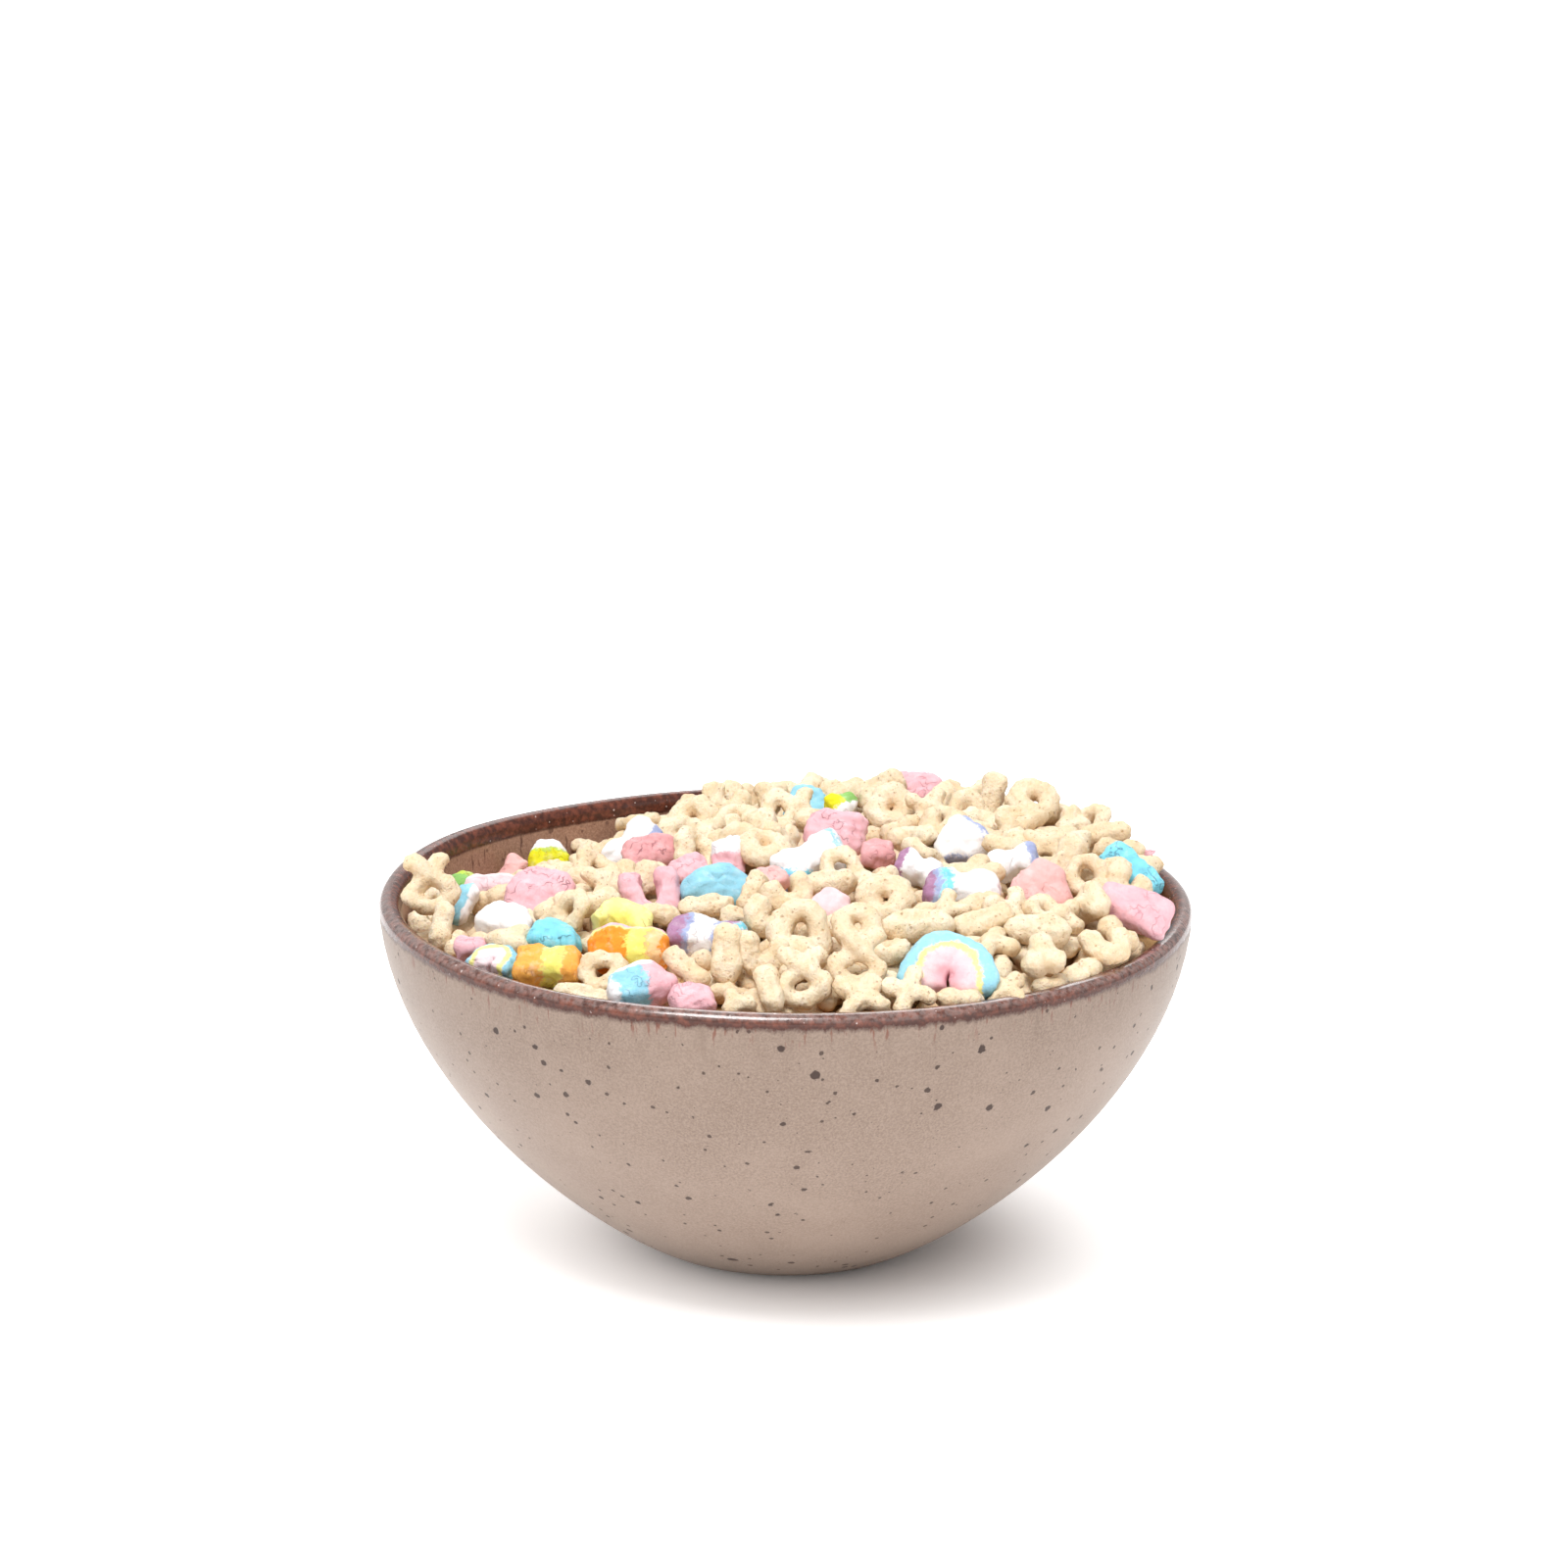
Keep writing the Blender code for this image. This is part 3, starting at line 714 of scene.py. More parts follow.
@dataclass
class HeapGround:
    """The heap's mean surface over the rim's plane, in millimetres, and the core beneath the pieces."""

    bowl: Bowl
    radius: float = 67.2
    level: float = -2.8
    crown: float = 4.0
    slope: float = 0.05
    edge_drop: float = 2.6
    hollow_centre: tuple[float, float] = (-48.0, 42.0)
    hollow_reach: tuple[float, float] = (30.0, 34.0)
    hollow_depth: float = 8.5
    core_depth: float = 5.0
    core_edge: float = 66.0
    core_gap: float = 0.5
    wall_gap: float = 0.6
    core_pole: float = 0.3
    crumble: float = 0.5

    def mean(self, x: np.ndarray, y: np.ndarray) -> np.ndarray:
        """A crowned level that climbs towards +X, less a dip at the back left and an edge drop.

        Args:
            x: Places to the right of the middle.
            y: Places behind it.

        Returns:
            Heights over the rim's plane.
        """
        reach = np.clip((x**2 + y**2) / self.radius**2, 0.0, 1.3)
        level = self.level + self.crown * (1.0 - reach) + self.slope * (x + self.radius)
        over_x = (x - self.hollow_centre[0]) / self.hollow_reach[0]
        over_y = (y - self.hollow_centre[1]) / self.hollow_reach[1]
        return level - self.hollow_depth * np.exp(-(over_x**2) - over_y**2) - self.edge_drop * reach**6

    def level_at(self, x: float, y: float) -> float:
        """The mean surface at one place."""
        return float(self.mean(np.array(x), np.array(y)))

    def build(self) -> bpy.types.Object:
        """The core: a crumbly disc under the pieces, closed down the bowl's inside to its floor.

        Returns:
            The core.
        """
        angle = around(150)
        cos, sin = np.cos(angle), np.sin(angle)
        share = np.linspace(0.01, 1.0, 60)[:, None]
        level = self.mean(self.core_edge * cos, self.core_edge * sin)
        edge = self.bowl.inner_radius(self.bowl.height + level - self.core_depth) - self.core_gap
        x, y = share * edge * cos, share * edge * sin
        top = self.bowl.height + self.mean(x, y) - self.core_depth
        top = top + self.crumble * waves(stack(x, y, 0.0), 5.0, 21) * (1.0 - share**8)
        fall = np.linspace(0.97, 0.0, 30)[:, None] ** 1.5
        base = self.bowl.floor + self.core_gap
        down = base + (top[-1] - self.bowl.floor - self.core_gap) * fall
        wall = np.maximum(self.bowl.inner_radius(down) - self.wall_gap, self.core_pole)
        skin = ring_skin(np.concatenate([stack(x, y, top), stack(wall * cos, wall * sin, down)]) * MM)
        # Painted shade: the core is dough of full tone and darker colours, standing for the oats that lie
        # below in shadow.
        skin.marks["tone"] = np.ones(len(skin.points))
        skin.marks["hollow"] = np.zeros(len(skin.points))
        shadowed_dough = ToastedOat(crust=shade(182, 142, 92), pale=shade(204, 166, 116), toast=shade(172, 128, 78))
        return skin.make("oat_core", shadowed_dough.dress("oat_core"))


# ------------------------------------------------------------------------------- the oat shapes


class OatForm(Enum):
    """The shapes that the oat dough is cut to."""

    RING = "ring"
    HEART_RING = "heart_ring"
    RIBBON = "ribbon"
    CROSS = "cross"
    CLOVER = "clover"
    ARCH = "arch"
    LOAF = "loaf"
    PEANUT = "peanut"


# Each shape's reach and the radius of its bars.
OAT_SIZES = {
    OatForm.RING: (3.0, 1.88),
    OatForm.HEART_RING: (3.0, 1.88),
    OatForm.RIBBON: (3.5, 1.6),
    OatForm.CROSS: (2.9, 2.0),
    OatForm.CLOVER: (2.4, 2.2),
    OatForm.ARCH: (2.75, 2.15),
    OatForm.LOAF: (3.1, 2.4),
    OatForm.PEANUT: (2.5, 2.4),
}
BALL_PITCH = 1.3
END_LEANS = np.radians(np.array([80.0, 60.0, 40.0, 20.0]))


@dataclass(frozen=True)
class Stroke:
    """A rounded bar of dough: a path in millimetres, its radius, and whether its ends meet."""

    path: np.ndarray
    radius: float
    closed: bool = False
    flat: float = 0.92

    def balls(self) -> np.ndarray:
        """Centres and radii of balls that fill the bar, as rows of x, y, z and radius.

        Returns:
            The rows, in millimetres.
        """
        count = max(2, int(round(travelled(self.path)[-1] / (BALL_PITCH * self.radius))))
        places = np.linspace(0, len(self.path) - 1, count + self.closed).round().astype(int)
        chosen = self.path[places[: count if self.closed else None]]
        return np.column_stack([chosen, np.full(len(chosen), self.radius)])

    def skin(self) -> Skin:
        """The bar: circles carried along the path, drawn in over each open end as a half ball.

        Returns:
            Its skin.
        """
        path = self.path
        if self.closed:
            along = np.roll(path, -1, axis=0) - np.roll(path, 1, axis=0)
        else:
            along = np.gradient(path, axis=0)
        along /= length_of(along)
        radius = np.full(len(path), self.radius)
        if not self.closed:
            reach, inset = self.radius * np.sin(END_LEANS)[:, None], self.radius * np.cos(END_LEANS)
            head, tail = path[0] - along[0] * reach, (path[-1] + along[-1] * reach)[::-1]
            path = np.concatenate([head, path, tail])
            radius = np.concatenate([inset, radius, inset[::-1]])
            along = np.pad(along, ((len(inset), len(inset)), (0, 0)), "edge")
        side = np.cross([0.0, 0.0, 1.0], along)
        side /= length_of(side)
        up = np.cross(along, side)
        angle = around(12)[:, None]
        circle = np.cos(angle) * side[:, None] + np.sin(angle) * up[:, None] * self.flat
        return ring_skin(path[:, None] + radius[:, None, None] * circle, self.closed)


def smooth_path(corners: Sequence[tuple[float, ...]], count: int = 28) -> np.ndarray:
    """A path of count points through flat corners, each coordinate eased by a running mean.

    Args:
        corners: (x, y) or (x, y, z) in millimetres.
        count: How many points come back.

    Returns:
        The points, whose ends are the first and last corner.
    """
    known = np.array([(*corner, 0.0)[:3] for corner in corners])
    place = np.linspace(0.0, len(known) - 1.0, 6 * count)
    line = stack(*(np.interp(place, np.arange(len(known)), values) for values in known.T))
    reach = max(3, int(6 * count / (len(known) - 1) * 0.9)) | 1
    padded = np.pad(line, ((reach, reach), (0, 0)), "edge")
    kernel = np.hanning(reach + 2)[1:-1]
    kernel /= kernel.sum()
    eased = stack(*(np.convolve(values, kernel, "same") for values in padded.T))[reach:-reach]
    return eased[np.linspace(0, len(eased) - 1, count).round().astype(int)]


def oat_strokes(form: OatForm, random: np.random.Generator) -> list[Stroke]:
    """The bars of dough that make up one shape, a little different at each call.

    Args:
        form: The shape.
        random: Where the small differences come from.

    Returns:
        The bars, in millimetres round the shape's middle.
    """
    vary = random.uniform(0.9, 1.1, 6)
    reach, thick = OAT_SIZES[form]
    turn = around(30)
    if form in (OatForm.RING, OatForm.HEART_RING):
        lobes = 0.05 * np.cos(2.0 * turn + vary[4] * 9.0)
        if form is OatForm.HEART_RING:
            lobes = 0.13 * np.cos(3.0 * turn)
        reach = reach * vary[0] * (1.0 + lobes)
        loop = stack(reach * np.cos(turn), reach * vary[1] * np.sin(turn), 0.35 * np.sin(2.0 * turn))
        return [Stroke(loop, thick * vary[2], True)]
    if form is OatForm.RIBBON:
        wide = reach * vary[0]
        corners = [(-2.7, -4.0, -0.5), (-1.0, -2.4, -0.5), (1.2, -0.6, -0.3), (wide, 1.2), (wide * 0.8, 3.0)]
        corners += [(0.0, 4.4), (-wide * 0.8, 3.0), (-wide, 1.2), (-1.2, -0.6, 0.3), (1.0, -2.4, 0.5)]
        return [Stroke(smooth_path([*corners, (2.7 * vary[1], -3.9, 0.5)], 40), thick * vary[2])]
    if form is OatForm.CROSS:
        arm = reach * vary[:4]
        first = smooth_path([(-arm[0], -arm[1]), (0.0, 0.2), (arm[1], arm[0])], 12)
        second = smooth_path([(-arm[2], arm[3]), (0.0, -0.2), (arm[3], -arm[2])], 12)
        return [Stroke(first, thick * vary[4]), Stroke(second, 1.95 * vary[5])]
    if form is OatForm.CLOVER:
        lobes = 3 if vary[5] < 1.03 else 4
        ways = np.arange(lobes) * TURN / lobes + 0.5
        reach = reach * vary[0]
        return [
            Stroke(smooth_path([(0.0, 0.0), (reach * math.cos(way), reach * math.sin(way))], 8), thick * size)
            for way, size in zip(ways, vary[1:])
        ]
    if form is OatForm.ARCH:
        bend = np.linspace(math.radians(-10.0), math.radians(190.0), 26)
        reach = reach * vary[0]
        path = stack(reach * np.cos(bend), reach * 1.15 * np.sin(bend) - 1.4, 0.3 * np.cos(bend))
        return [Stroke(path, thick * vary[1])]
    if form is OatForm.LOAF:
        bow = 0.7 * (vary[0] - 1.0) * 10.0
        corners = [(-reach * vary[1], 0.0), (0.0, 0.6 * bow), (reach * vary[2], 0.0)]
        return [Stroke(smooth_path(corners, 14), thick * vary[3], flat=0.88)]
    size = thick * vary[:2]
    return [
        Stroke(smooth_path([(-reach, 0.1), (-2.1, 0.1)], 4), size[0]),
        Stroke(smooth_path([(-1.5, 0.0), (1.5, 0.0)], 8), 1.95),
        Stroke(smooth_path([(2.0, -0.1), (2.6 * vary[4], -0.1)], 4), size[1]),
    ]


class OatShape:
    """One master oat piece in millimetres: the fused dough, its hollows as the mask of painted shade, and
    balls that fill it.
    """

    voxel_fine = 0.56
    voxel_coarse = 0.85
    easing = 3
    crease = (0.55, 0.55, 4.2)  # depth, width and half length of the split along a loaf
    hollow_rise = 0.07

    def __init__(self, form: OatForm, seed: int, coarse: bool) -> None:
        """Fuses the shape's bars with a voxel remesh and works out its hollows, where shade is painted.

        Args:
            form: The shape.
            seed: Where its small differences come from.
            coarse: Whether it lies deep, out of sight.
        """
        strokes = oat_strokes(form, np.random.default_rng(seed))
        self.balls = np.concatenate([stroke.balls() for stroke in strokes])
        piece = joined([stroke.skin() for stroke in strokes]).make("dough", None)
        fuse = piece.modifiers.new("fuse", "REMESH")
        fuse.mode = "VOXEL"
        fuse.voxel_size = self.voxel_coarse if coarse else self.voxel_fine
        ease = piece.modifiers.new("ease", "SMOOTH")
        ease.factor, ease.iterations = 0.5, self.easing
        graph = bpy.context.evaluated_depsgraph_get()
        mesh = piece.evaluated_get(graph).to_mesh()
        points = np.empty(len(mesh.vertices) * 3, np.float32)
        mesh.vertices.foreach_get("co", points)
        corners = np.empty(len(mesh.loops), np.int32)
        mesh.loops.foreach_get("vertex_index", corners)
        self.points = points.reshape(-1, 3).astype(float)
        self.quads = corners.reshape(-1, 4)
        bpy.data.objects.remove(piece, do_unlink=True)
        if form is OatForm.LOAF:
            x, y, z = self.points.T
            depth, width, half = self.crease
            crease = depth * np.exp(-((y / width) ** 2)) * np.clip(1.0 - (x / half) ** 2, 0.0, 1.0)
            self.points[:, 2] = np.where(z > 0.0, z - crease, z)
        self.normals = self.point_normals()
        self.hollow = self.hollows()

    def point_normals(self) -> np.ndarray:
        """Each point's direction: the sum of its quads' cross products of their diagonals.

        Returns:
            Unit vectors.
        """
        a, b, c, d = (self.points[self.quads[:, corner]] for corner in range(4))
        flat = np.cross(c - a, d - b)
        total = np.zeros_like(self.points)
        for corner in range(4):
            np.add.at(total, self.quads[:, corner], flat)
        return total / (length_of(total) + TINY)

    def hollows(self) -> np.ndarray:
        """How deeply each point lies in a dip, 0 to 1: its neighbours' mean lies above it along its normal;
        the mask of painted shade in the hollows.

        Returns:
            The marks, one for each point.
        """
        pairs = np.concatenate([self.quads[:, [corner, (corner + 1) % 4]] for corner in range(4)])
        first = np.concatenate([pairs[:, 0], pairs[:, 1]])
        second = np.concatenate([pairs[:, 1], pairs[:, 0]])
        count = np.bincount(first, minlength=len(self.points))

        def mean(values: np.ndarray) -> np.ndarray:
            """The mean over each point's neighbours."""
            return np.bincount(first, values[second], len(self.points)) / count

        middle = stack(*(mean(values) for values in self.points.T))
        rise = ((middle - self.points) * self.normals).sum(axis=-1)
        for _ in range(6):
            rise = 0.5 * rise + 0.5 * mean(rise)
        return np.clip(rise / self.hollow_rise + 0.05, 0.0, 1.0)


@dataclass
class PlacedOat:
    """An oat piece on the heap: form, middle over the rim's plane, turn, size and how firmly it is held."""

    form: OatForm
    place: tuple[float, float, float]
    turn: tuple[float, float, float]
    size: float = 1.0
    hold: float = 0.9


F = OatForm
# Form, x, y, lift over the heap's mean surface, then spin, tilt, yaw and size.
SHOWN_OATS = (
    (F.RIBBON, 2.9, -61.0, 2.6, 5, 62, 0, 1.0),
    (F.RIBBON, 12.2, -56.0, 3.0, -4, 60, 0, 1.12),
    (F.CROSS, 12.8, -64.0, 1.2, 10, 35, 0, 0.95),
    (F.RING, 12.4, -41.5, 2.6, 0, 42, 0, 0.95),
    (F.HEART_RING, 2.6, -42.5, 2.4, 200, 48, 8, 1.15),
    (F.ARCH, 1.5, -24.0, 2.0, 20, 44, 0, 0.95),
    (F.LOAF, -5.8, -20.5, 2.2, 72, 50, 0, 0.8),
    (F.ARCH, -3.2, -34.0, 1.6, -25, 40, 0, 0.9),
    (F.LOAF, -9.6, -53.0, 3.2, 72, 62, 0, 1.05),
    (F.ARCH, -4.2, -52.5, 2.4, -10, 66, 0, 0.9),
    (F.LOAF, -2.0, -62.5, 1.8, -62, 60, 0, 0.85),
    (F.CLOVER, -8.0, -64.6, 0.8, 30, 40, 0, 0.75),
    (F.LOAF, -17.2, -54.5, 1.6, -12, 30, 0, 0.9),
    (F.LOAF, 22.6, -40.0, 2.2, 8, 30, 0, 1.2),
    (F.LOAF, 34.4, -37.6, 2.2, 24, 28, 0, 1.1),
    (F.LOAF, 33.0, -29.0, 1.2, 14, 25, 0, 1.05),
    (F.LOAF, 43.4, -40.0, 2.2, -6, 32, 0, 1.1),
    (F.CLOVER, 43.8, -50.0, 3.4, 12, 58, 0, 1.05),
    (F.CROSS, 37.0, -57.5, 1.2, 20, 30, 0, 0.75),
    (F.PEANUT, 30.2, -62.0, 1.4, -4, 25, 0, 0.95),
    (F.CROSS, 20.4, -62.6, 1.6, 30, 40, 0, 0.85),
    (F.ARCH, 55.2, -40.6, 2.6, 196, 30, 0, 0.95),
    (F.PEANUT, 57.5, -32.5, 1.4, 128, 20, 0, 0.9),
    (F.LOAF, 51.5, -46.5, 0.6, 42, 22, 0, 0.9),
    (F.CLOVER, 47.0, -53.0, 0.8, 80, 25, 0, 0.85),
    (F.LOAF, 58.0, -39.5, -1.4, 50, 10, 0, 0.9),
    (F.HEART_RING, 17.4, -26.0, 1.8, 90, 40, 0, 1.1),
    (F.RING, 10.0, -7.5, 1.8, 0, 46, 0, 0.9),
    (F.LOAF, 8.0, -15.5, 1.6, 8, 25, 0, 0.95),
    (F.RING, 53.5, -11.0, 2.2, 20, 44, 0, 0.9),
    (F.CLOVER, 53.8, -26.0, 2.6, 25, 46, 0, 1.1),
    (F.LOAF, 50.2, -3.0, 2.8, 64, 48, 0, 1.05),
    (F.RING, 46.0, 36.5, 4.0, 0, 30, 10, 1.1),
    (F.LOAF, 38.4, 42.5, 3.4, 75, 60, 0, 0.95),
    (F.LOAF, 58.4, 20.5, 2.6, 14, 30, 0, 0.95),
    (F.RING, -17.6, 41.5, 2.6, 0, 36, 0, 1.05),
    (F.ARCH, -11.6, 51.0, 2.4, -12, 46, 0, 1.0),
    (F.CLOVER, -3.4, 56.0, 2.2, 50, 45, 0, 0.85),
    (F.RIBBON, 0.4, 37.0, 2.2, 105, 38, 0, 1.0),
    (F.LOAF, -4.6, 17.6, 2.6, 82, 52, 0, 1.0),
    (F.LOAF, -14.0, -23.5, 1.0, 10, 30, 0, 0.9),
    (F.LOAF, -7.0, -31.0, 0.8, -20, 25, 0, 0.85),
    (F.CLOVER, -36.4, 32.5, 1.8, 15, 40, 0, 0.95),
    (F.LOAF, -30.0, 42.5, 1.6, 60, 45, 0, 0.7),
    (F.ARCH, -24.5, 43.5, 1.8, 15, 42, 0, 0.85),
    (F.LOAF, -52.6, 18.0, 1.6, 12, 30, 0, 0.8),
    (F.CLOVER, -56.5, 14.5, 1.2, 40, 30, 0, 0.6),
    (F.CLOVER, -56.5, -24.0, -1.0, 20, 35, 0, 0.8),
    (F.LOAF, -50.5, -29.5, -1.6, 10, 25, 0, 0.7),
    (F.LOAF, 43.2, 30.5, 2.0, 10, 30, 0, 0.95),
    (F.CLOVER, 53.0, 27.0, 2.4, 10, 40, 0, 0.9),
    (F.HEART_RING, 19.5, 33.0, 2.2, 30, 42, 0, 1.05),
    (F.RIBBON, 27.0, 27.5, 2.4, 20, 46, 0, 1.0),
    (F.LOAF, 17.5, 49.5, 3.0, 8, 40, 0, 1.1),
    (F.LOAF, 19.0, 40.0, 2.2, -10, 30, 0, 1.05),
    (F.LOAF, -33.5, -57.0, 0.8, 16, 30, 0, 1.0),
    (F.LOAF, -3.0, 27.0, 1.8, -12, 30, 0, 0.9),
)
LEANING_OATS = (
    PlacedOat(F.RIBBON, (-63.2, -10.5, 3.9), (186, 62, 14), 1.05, 1.0),
    PlacedOat(F.PEANUT, (-60.2, -21.5, -0.6), (84, 55, 0), 0.95, 1.0),
)


# Where no seeded piece may start, as x, y, lift over the rim's plane, and reach.
CLEARINGS = ((31.0, 1.0, 3.5, 8.0), (-22.0, -17.0, 1.5, 6.0))


@dataclass
class OatHeap:
    """The oat pieces: the ones that show well, then seeded ones all over, settled clear of each other.

    Distances are in millimetres, and tone is the mean and spread of how toasted the pieces are.
    """

    bowl: Bowl
    ground: HeapGround
    seed: int = 11
    variants: int = 3
    pitch: float = 7.4
    layers: tuple[float, ...] = (0.9, -3.6)
    deep_ease: float = 2.6
    odds: tuple[float, ...] = (0.13, 0.13, 0.14, 0.07, 0.17, 0.12, 0.15, 0.09)
    jitter: float = 0.24
    leans: tuple[float, float] = (-8.0, 58.0)
    yaw_spread: float = 50.0
    sizes: tuple[float, float] = (0.86, 1.06)
    lift_spread: float = 0.6
    tone: tuple[float, float] = (0.3, 0.22)
    swells: tuple[float, float] = (0.17, 0.09)
    wall_room: float = 3.4
    spacing: float = 6.0
    coarse_below: float = 2.4
    steps: int = 70
    bite: float = 0.35
    watch: float = 1.5
    wall_top: float = 1.5
    deepest: float = 2.0
    shove_gain: float = 1.4
    homing: float = 0.05
    twist_gain: float = 0.7
    most_spin: float = 0.12

    def seeded(self, blocked: np.ndarray) -> list[PlacedOat]:
        """Pieces on a jittered triangular lattice, in layers, away from what lies there already.

        Args:
            blocked: Rows of x, y, z and the distance that a piece's middle keeps from there.

        Returns:
            The new pieces.
        """
        random = np.random.default_rng(self.seed)
        forms = list(OatForm)
        odds = np.array(self.odds)
        found = []
        for number, layer in enumerate(self.layers):
            span = int(70.0 / self.pitch) + 1
            for row in range(-span, span + 1):
                for column in range(-span, span + 1):
                    jitter = random.uniform(-self.jitter, self.jitter, 2)
                    x = (column + 0.5 * ((row + number) % 2) + jitter[0]) * self.pitch
                    y = (row * math.sqrt(0.75) + jitter[1] + 0.4 * number) * self.pitch
                    lean, spin = random.uniform(*self.leans), random.uniform(0.0, 360.0)
                    yaw = random.normal(0.0, self.yaw_spread)
                    form = forms[int(random.choice(len(forms), p=odds / odds.sum()))]
                    size, lift = random.uniform(*self.sizes), random.normal(0.0, self.lift_spread)
                    z = self.ground.level_at(x, y) + layer + lift
                    room = float(self.bowl.inner_radius(np.array(z + self.bowl.height))) - self.wall_room
                    apart = np.linalg.norm(blocked[:, :3] - np.array([x, y, z]), axis=-1)
                    clear = (apart >= blocked[:, 3] - self.deep_ease * number).all()
                    if math.hypot(x, y) <= room and clear:
                        found.append(PlacedOat(form, (x, y, z), (spin, lean, yaw), size, 0.0))
        return found

    def settle(
        self, oats: list[PlacedOat], shapes: list[OatShape], fixed: np.ndarray
    ) -> tuple[np.ndarray, np.ndarray]:
        """Moves and turns the pieces apart until the balls that fill them hardly overlap.

        Each piece is a few balls. Overlapping balls push each other away, the bowl's wall and the
        marshmallows push too, and each piece drifts back towards its own place.

        Args:
            oats: The pieces.
            shapes: Each piece's master shape.
            fixed: The marshmallows' balls, as rows of x, y, z and radius.

        Returns:
            The pieces' middles and their 3 by 3 turns.
        """
        home = np.array([piece.place for piece in oats])
        middles = home.copy()
        turns = np.array([turn_matrix(*piece.turn) for piece in oats])
        give = 1.0 - np.array([piece.hold for piece in oats])
        owner = np.concatenate([np.full(len(shape.balls), n) for n, shape in enumerate(shapes)])
        local = np.concatenate([shape.balls[:, :3] * piece.size for shape, piece in zip(shapes, oats)])
        radius = np.concatenate([shape.balls[:, 3] * piece.size for shape, piece in zip(shapes, oats)])
        count = len(oats)
        inertia = np.bincount(owner, (local**2).sum(axis=-1), count) + 6.0

        def per_piece(values: np.ndarray) -> np.ndarray:
            """The balls' vectors added up for each piece."""
            return stack(*(np.bincount(owner, part, count) for part in values.T))

        first = second = np.zeros(0, int)
        for step in range(self.steps):
            spokes = np.einsum("nij,nj->ni", turns[owner], local)
            balls = middles[owner] + spokes
            if step % 8 == 0:
                square = (balls**2).sum(axis=-1)
                gap = square[:, None] + square[None] - 2.0 * balls @ balls.T
                near = (radius[:, None] + radius[None] + self.watch) ** 2
                first, second = np.nonzero(np.triu((gap < near) & (owner[:, None] != owner[None]), 1))
            push = np.zeros_like(balls)
            touch = np.zeros(len(balls))
            way = balls[first] - balls[second]
            distance = np.linalg.norm(way, axis=-1) + 1e-9
            depth = np.clip(radius[first] + radius[second] - self.bite - distance, 0.0, self.deepest)
            shove = way * (0.5 * depth / distance)[:, None]
            np.add.at(push, first, shove)
            np.add.at(push, second, -shove)
            np.add.at(touch, first, depth > 0.0)
            np.add.at(touch, second, depth > 0.0)
            way = balls[:, None] - fixed[None, :, :3]
            distance = np.linalg.norm(way, axis=-1) + 1e-9
            depth = np.clip(radius[:, None] + fixed[None, :, 3] - self.bite - distance, 0.0, self.deepest)
            push += (way * (depth / distance)[..., None]).sum(axis=1)
            touch += (depth > 0.0).sum(axis=1)
            out = np.hypot(balls[:, 0], balls[:, 1]) + 1e-9
            room = self.bowl.inner_radius(balls[:, 2] + self.bowl.height) - radius
            over = np.where(balls[:, 2] < self.wall_top, np.clip(out - room, 0.0, self.deepest), 0.0)
            push[:, :2] -= balls[:, :2] * (over / out)[:, None]
            touch += over > 0.0
            contacts = np.maximum(np.bincount(owner, touch, count), 1.0)[:, None]
            moved = self.shove_gain * per_piece(push) / contacts
            middles += moved * give[:, None] + self.homing * (home - middles)
            spin = self.twist_gain * per_piece(np.cross(spokes, push)) / inertia[:, None] * give[:, None]
            spin *= np.minimum(1.0, self.most_spin / (length_of(spin) + 1e-9))
            cross = np.zeros((count, 3, 3))
            cross[:, 0, 1], cross[:, 0, 2], cross[:, 1, 2] = -spin[:, 2], spin[:, 1], -spin[:, 0]
            cross -= cross.transpose(0, 2, 1)
            # The factor's signs may turn a piece half round about one of its axes, once.
            turns = np.linalg.qr(turns + cross @ turns)[0]
        return middles, turns

    def build(self, marshmallows: Sequence["Marshmallow"]) -> list[bpy.types.Object]:
        """All the pieces, joined into one mesh for each form.

        Args:
            marshmallows: What lies on the heap, already placed.

        Returns:
            One object for each form.
        """
        shown = [
            PlacedOat(form, (x, y, self.ground.level_at(x, y) + lift), (spin, tilt, yaw), size)
            for form, x, y, lift, spin, tilt, yaw, size in SHOWN_OATS
        ]
        shown += list(LEANING_OATS)
        blocked = [(*piece.place, self.spacing * piece.size) for piece in shown]
        blocked += [row for piece in marshmallows for row in piece.keep_out()]
        oats = shown + self.seeded(np.array([*blocked, *CLEARINGS]))
        random = np.random.default_rng(self.seed + 1)
        book = {
            (form, variant, coarse): OatShape(form, 100 * n + variant, coarse)
            for n, form in enumerate(OatForm)
            for variant in range(self.variants)
            for coarse in (False, True)
        }
        deep = [piece.place[2] < self.ground.level_at(*piece.place[:2]) - self.coarse_below for piece in oats]
        shapes = [
            book[piece.form, int(random.integers(self.variants)), low] for piece, low in zip(oats, deep)
        ]
        balls = np.concatenate([piece.balls() for piece in marshmallows])
        middles, turns = self.settle(oats, shapes, balls)
        skins: dict[OatForm, list[Skin]] = {form: [] for form in OatForm}
        broad, fine = self.swells
        for number, (piece, shape) in enumerate(zip(oats, shapes)):
            local = shape.points * piece.size
            shift = random.uniform(-50.0, 50.0, 3)
            swell = broad * waves(local + shift, 5.0, 31) + fine * waves(local + shift, 1.9, 32)
            local = local + shape.normals * swell[:, None]
            place = local @ turns[number].T + middles[number] + np.array([0.0, 0.0, self.bowl.height])
            tone = np.clip(random.normal(*self.tone), 0.0, 1.0)
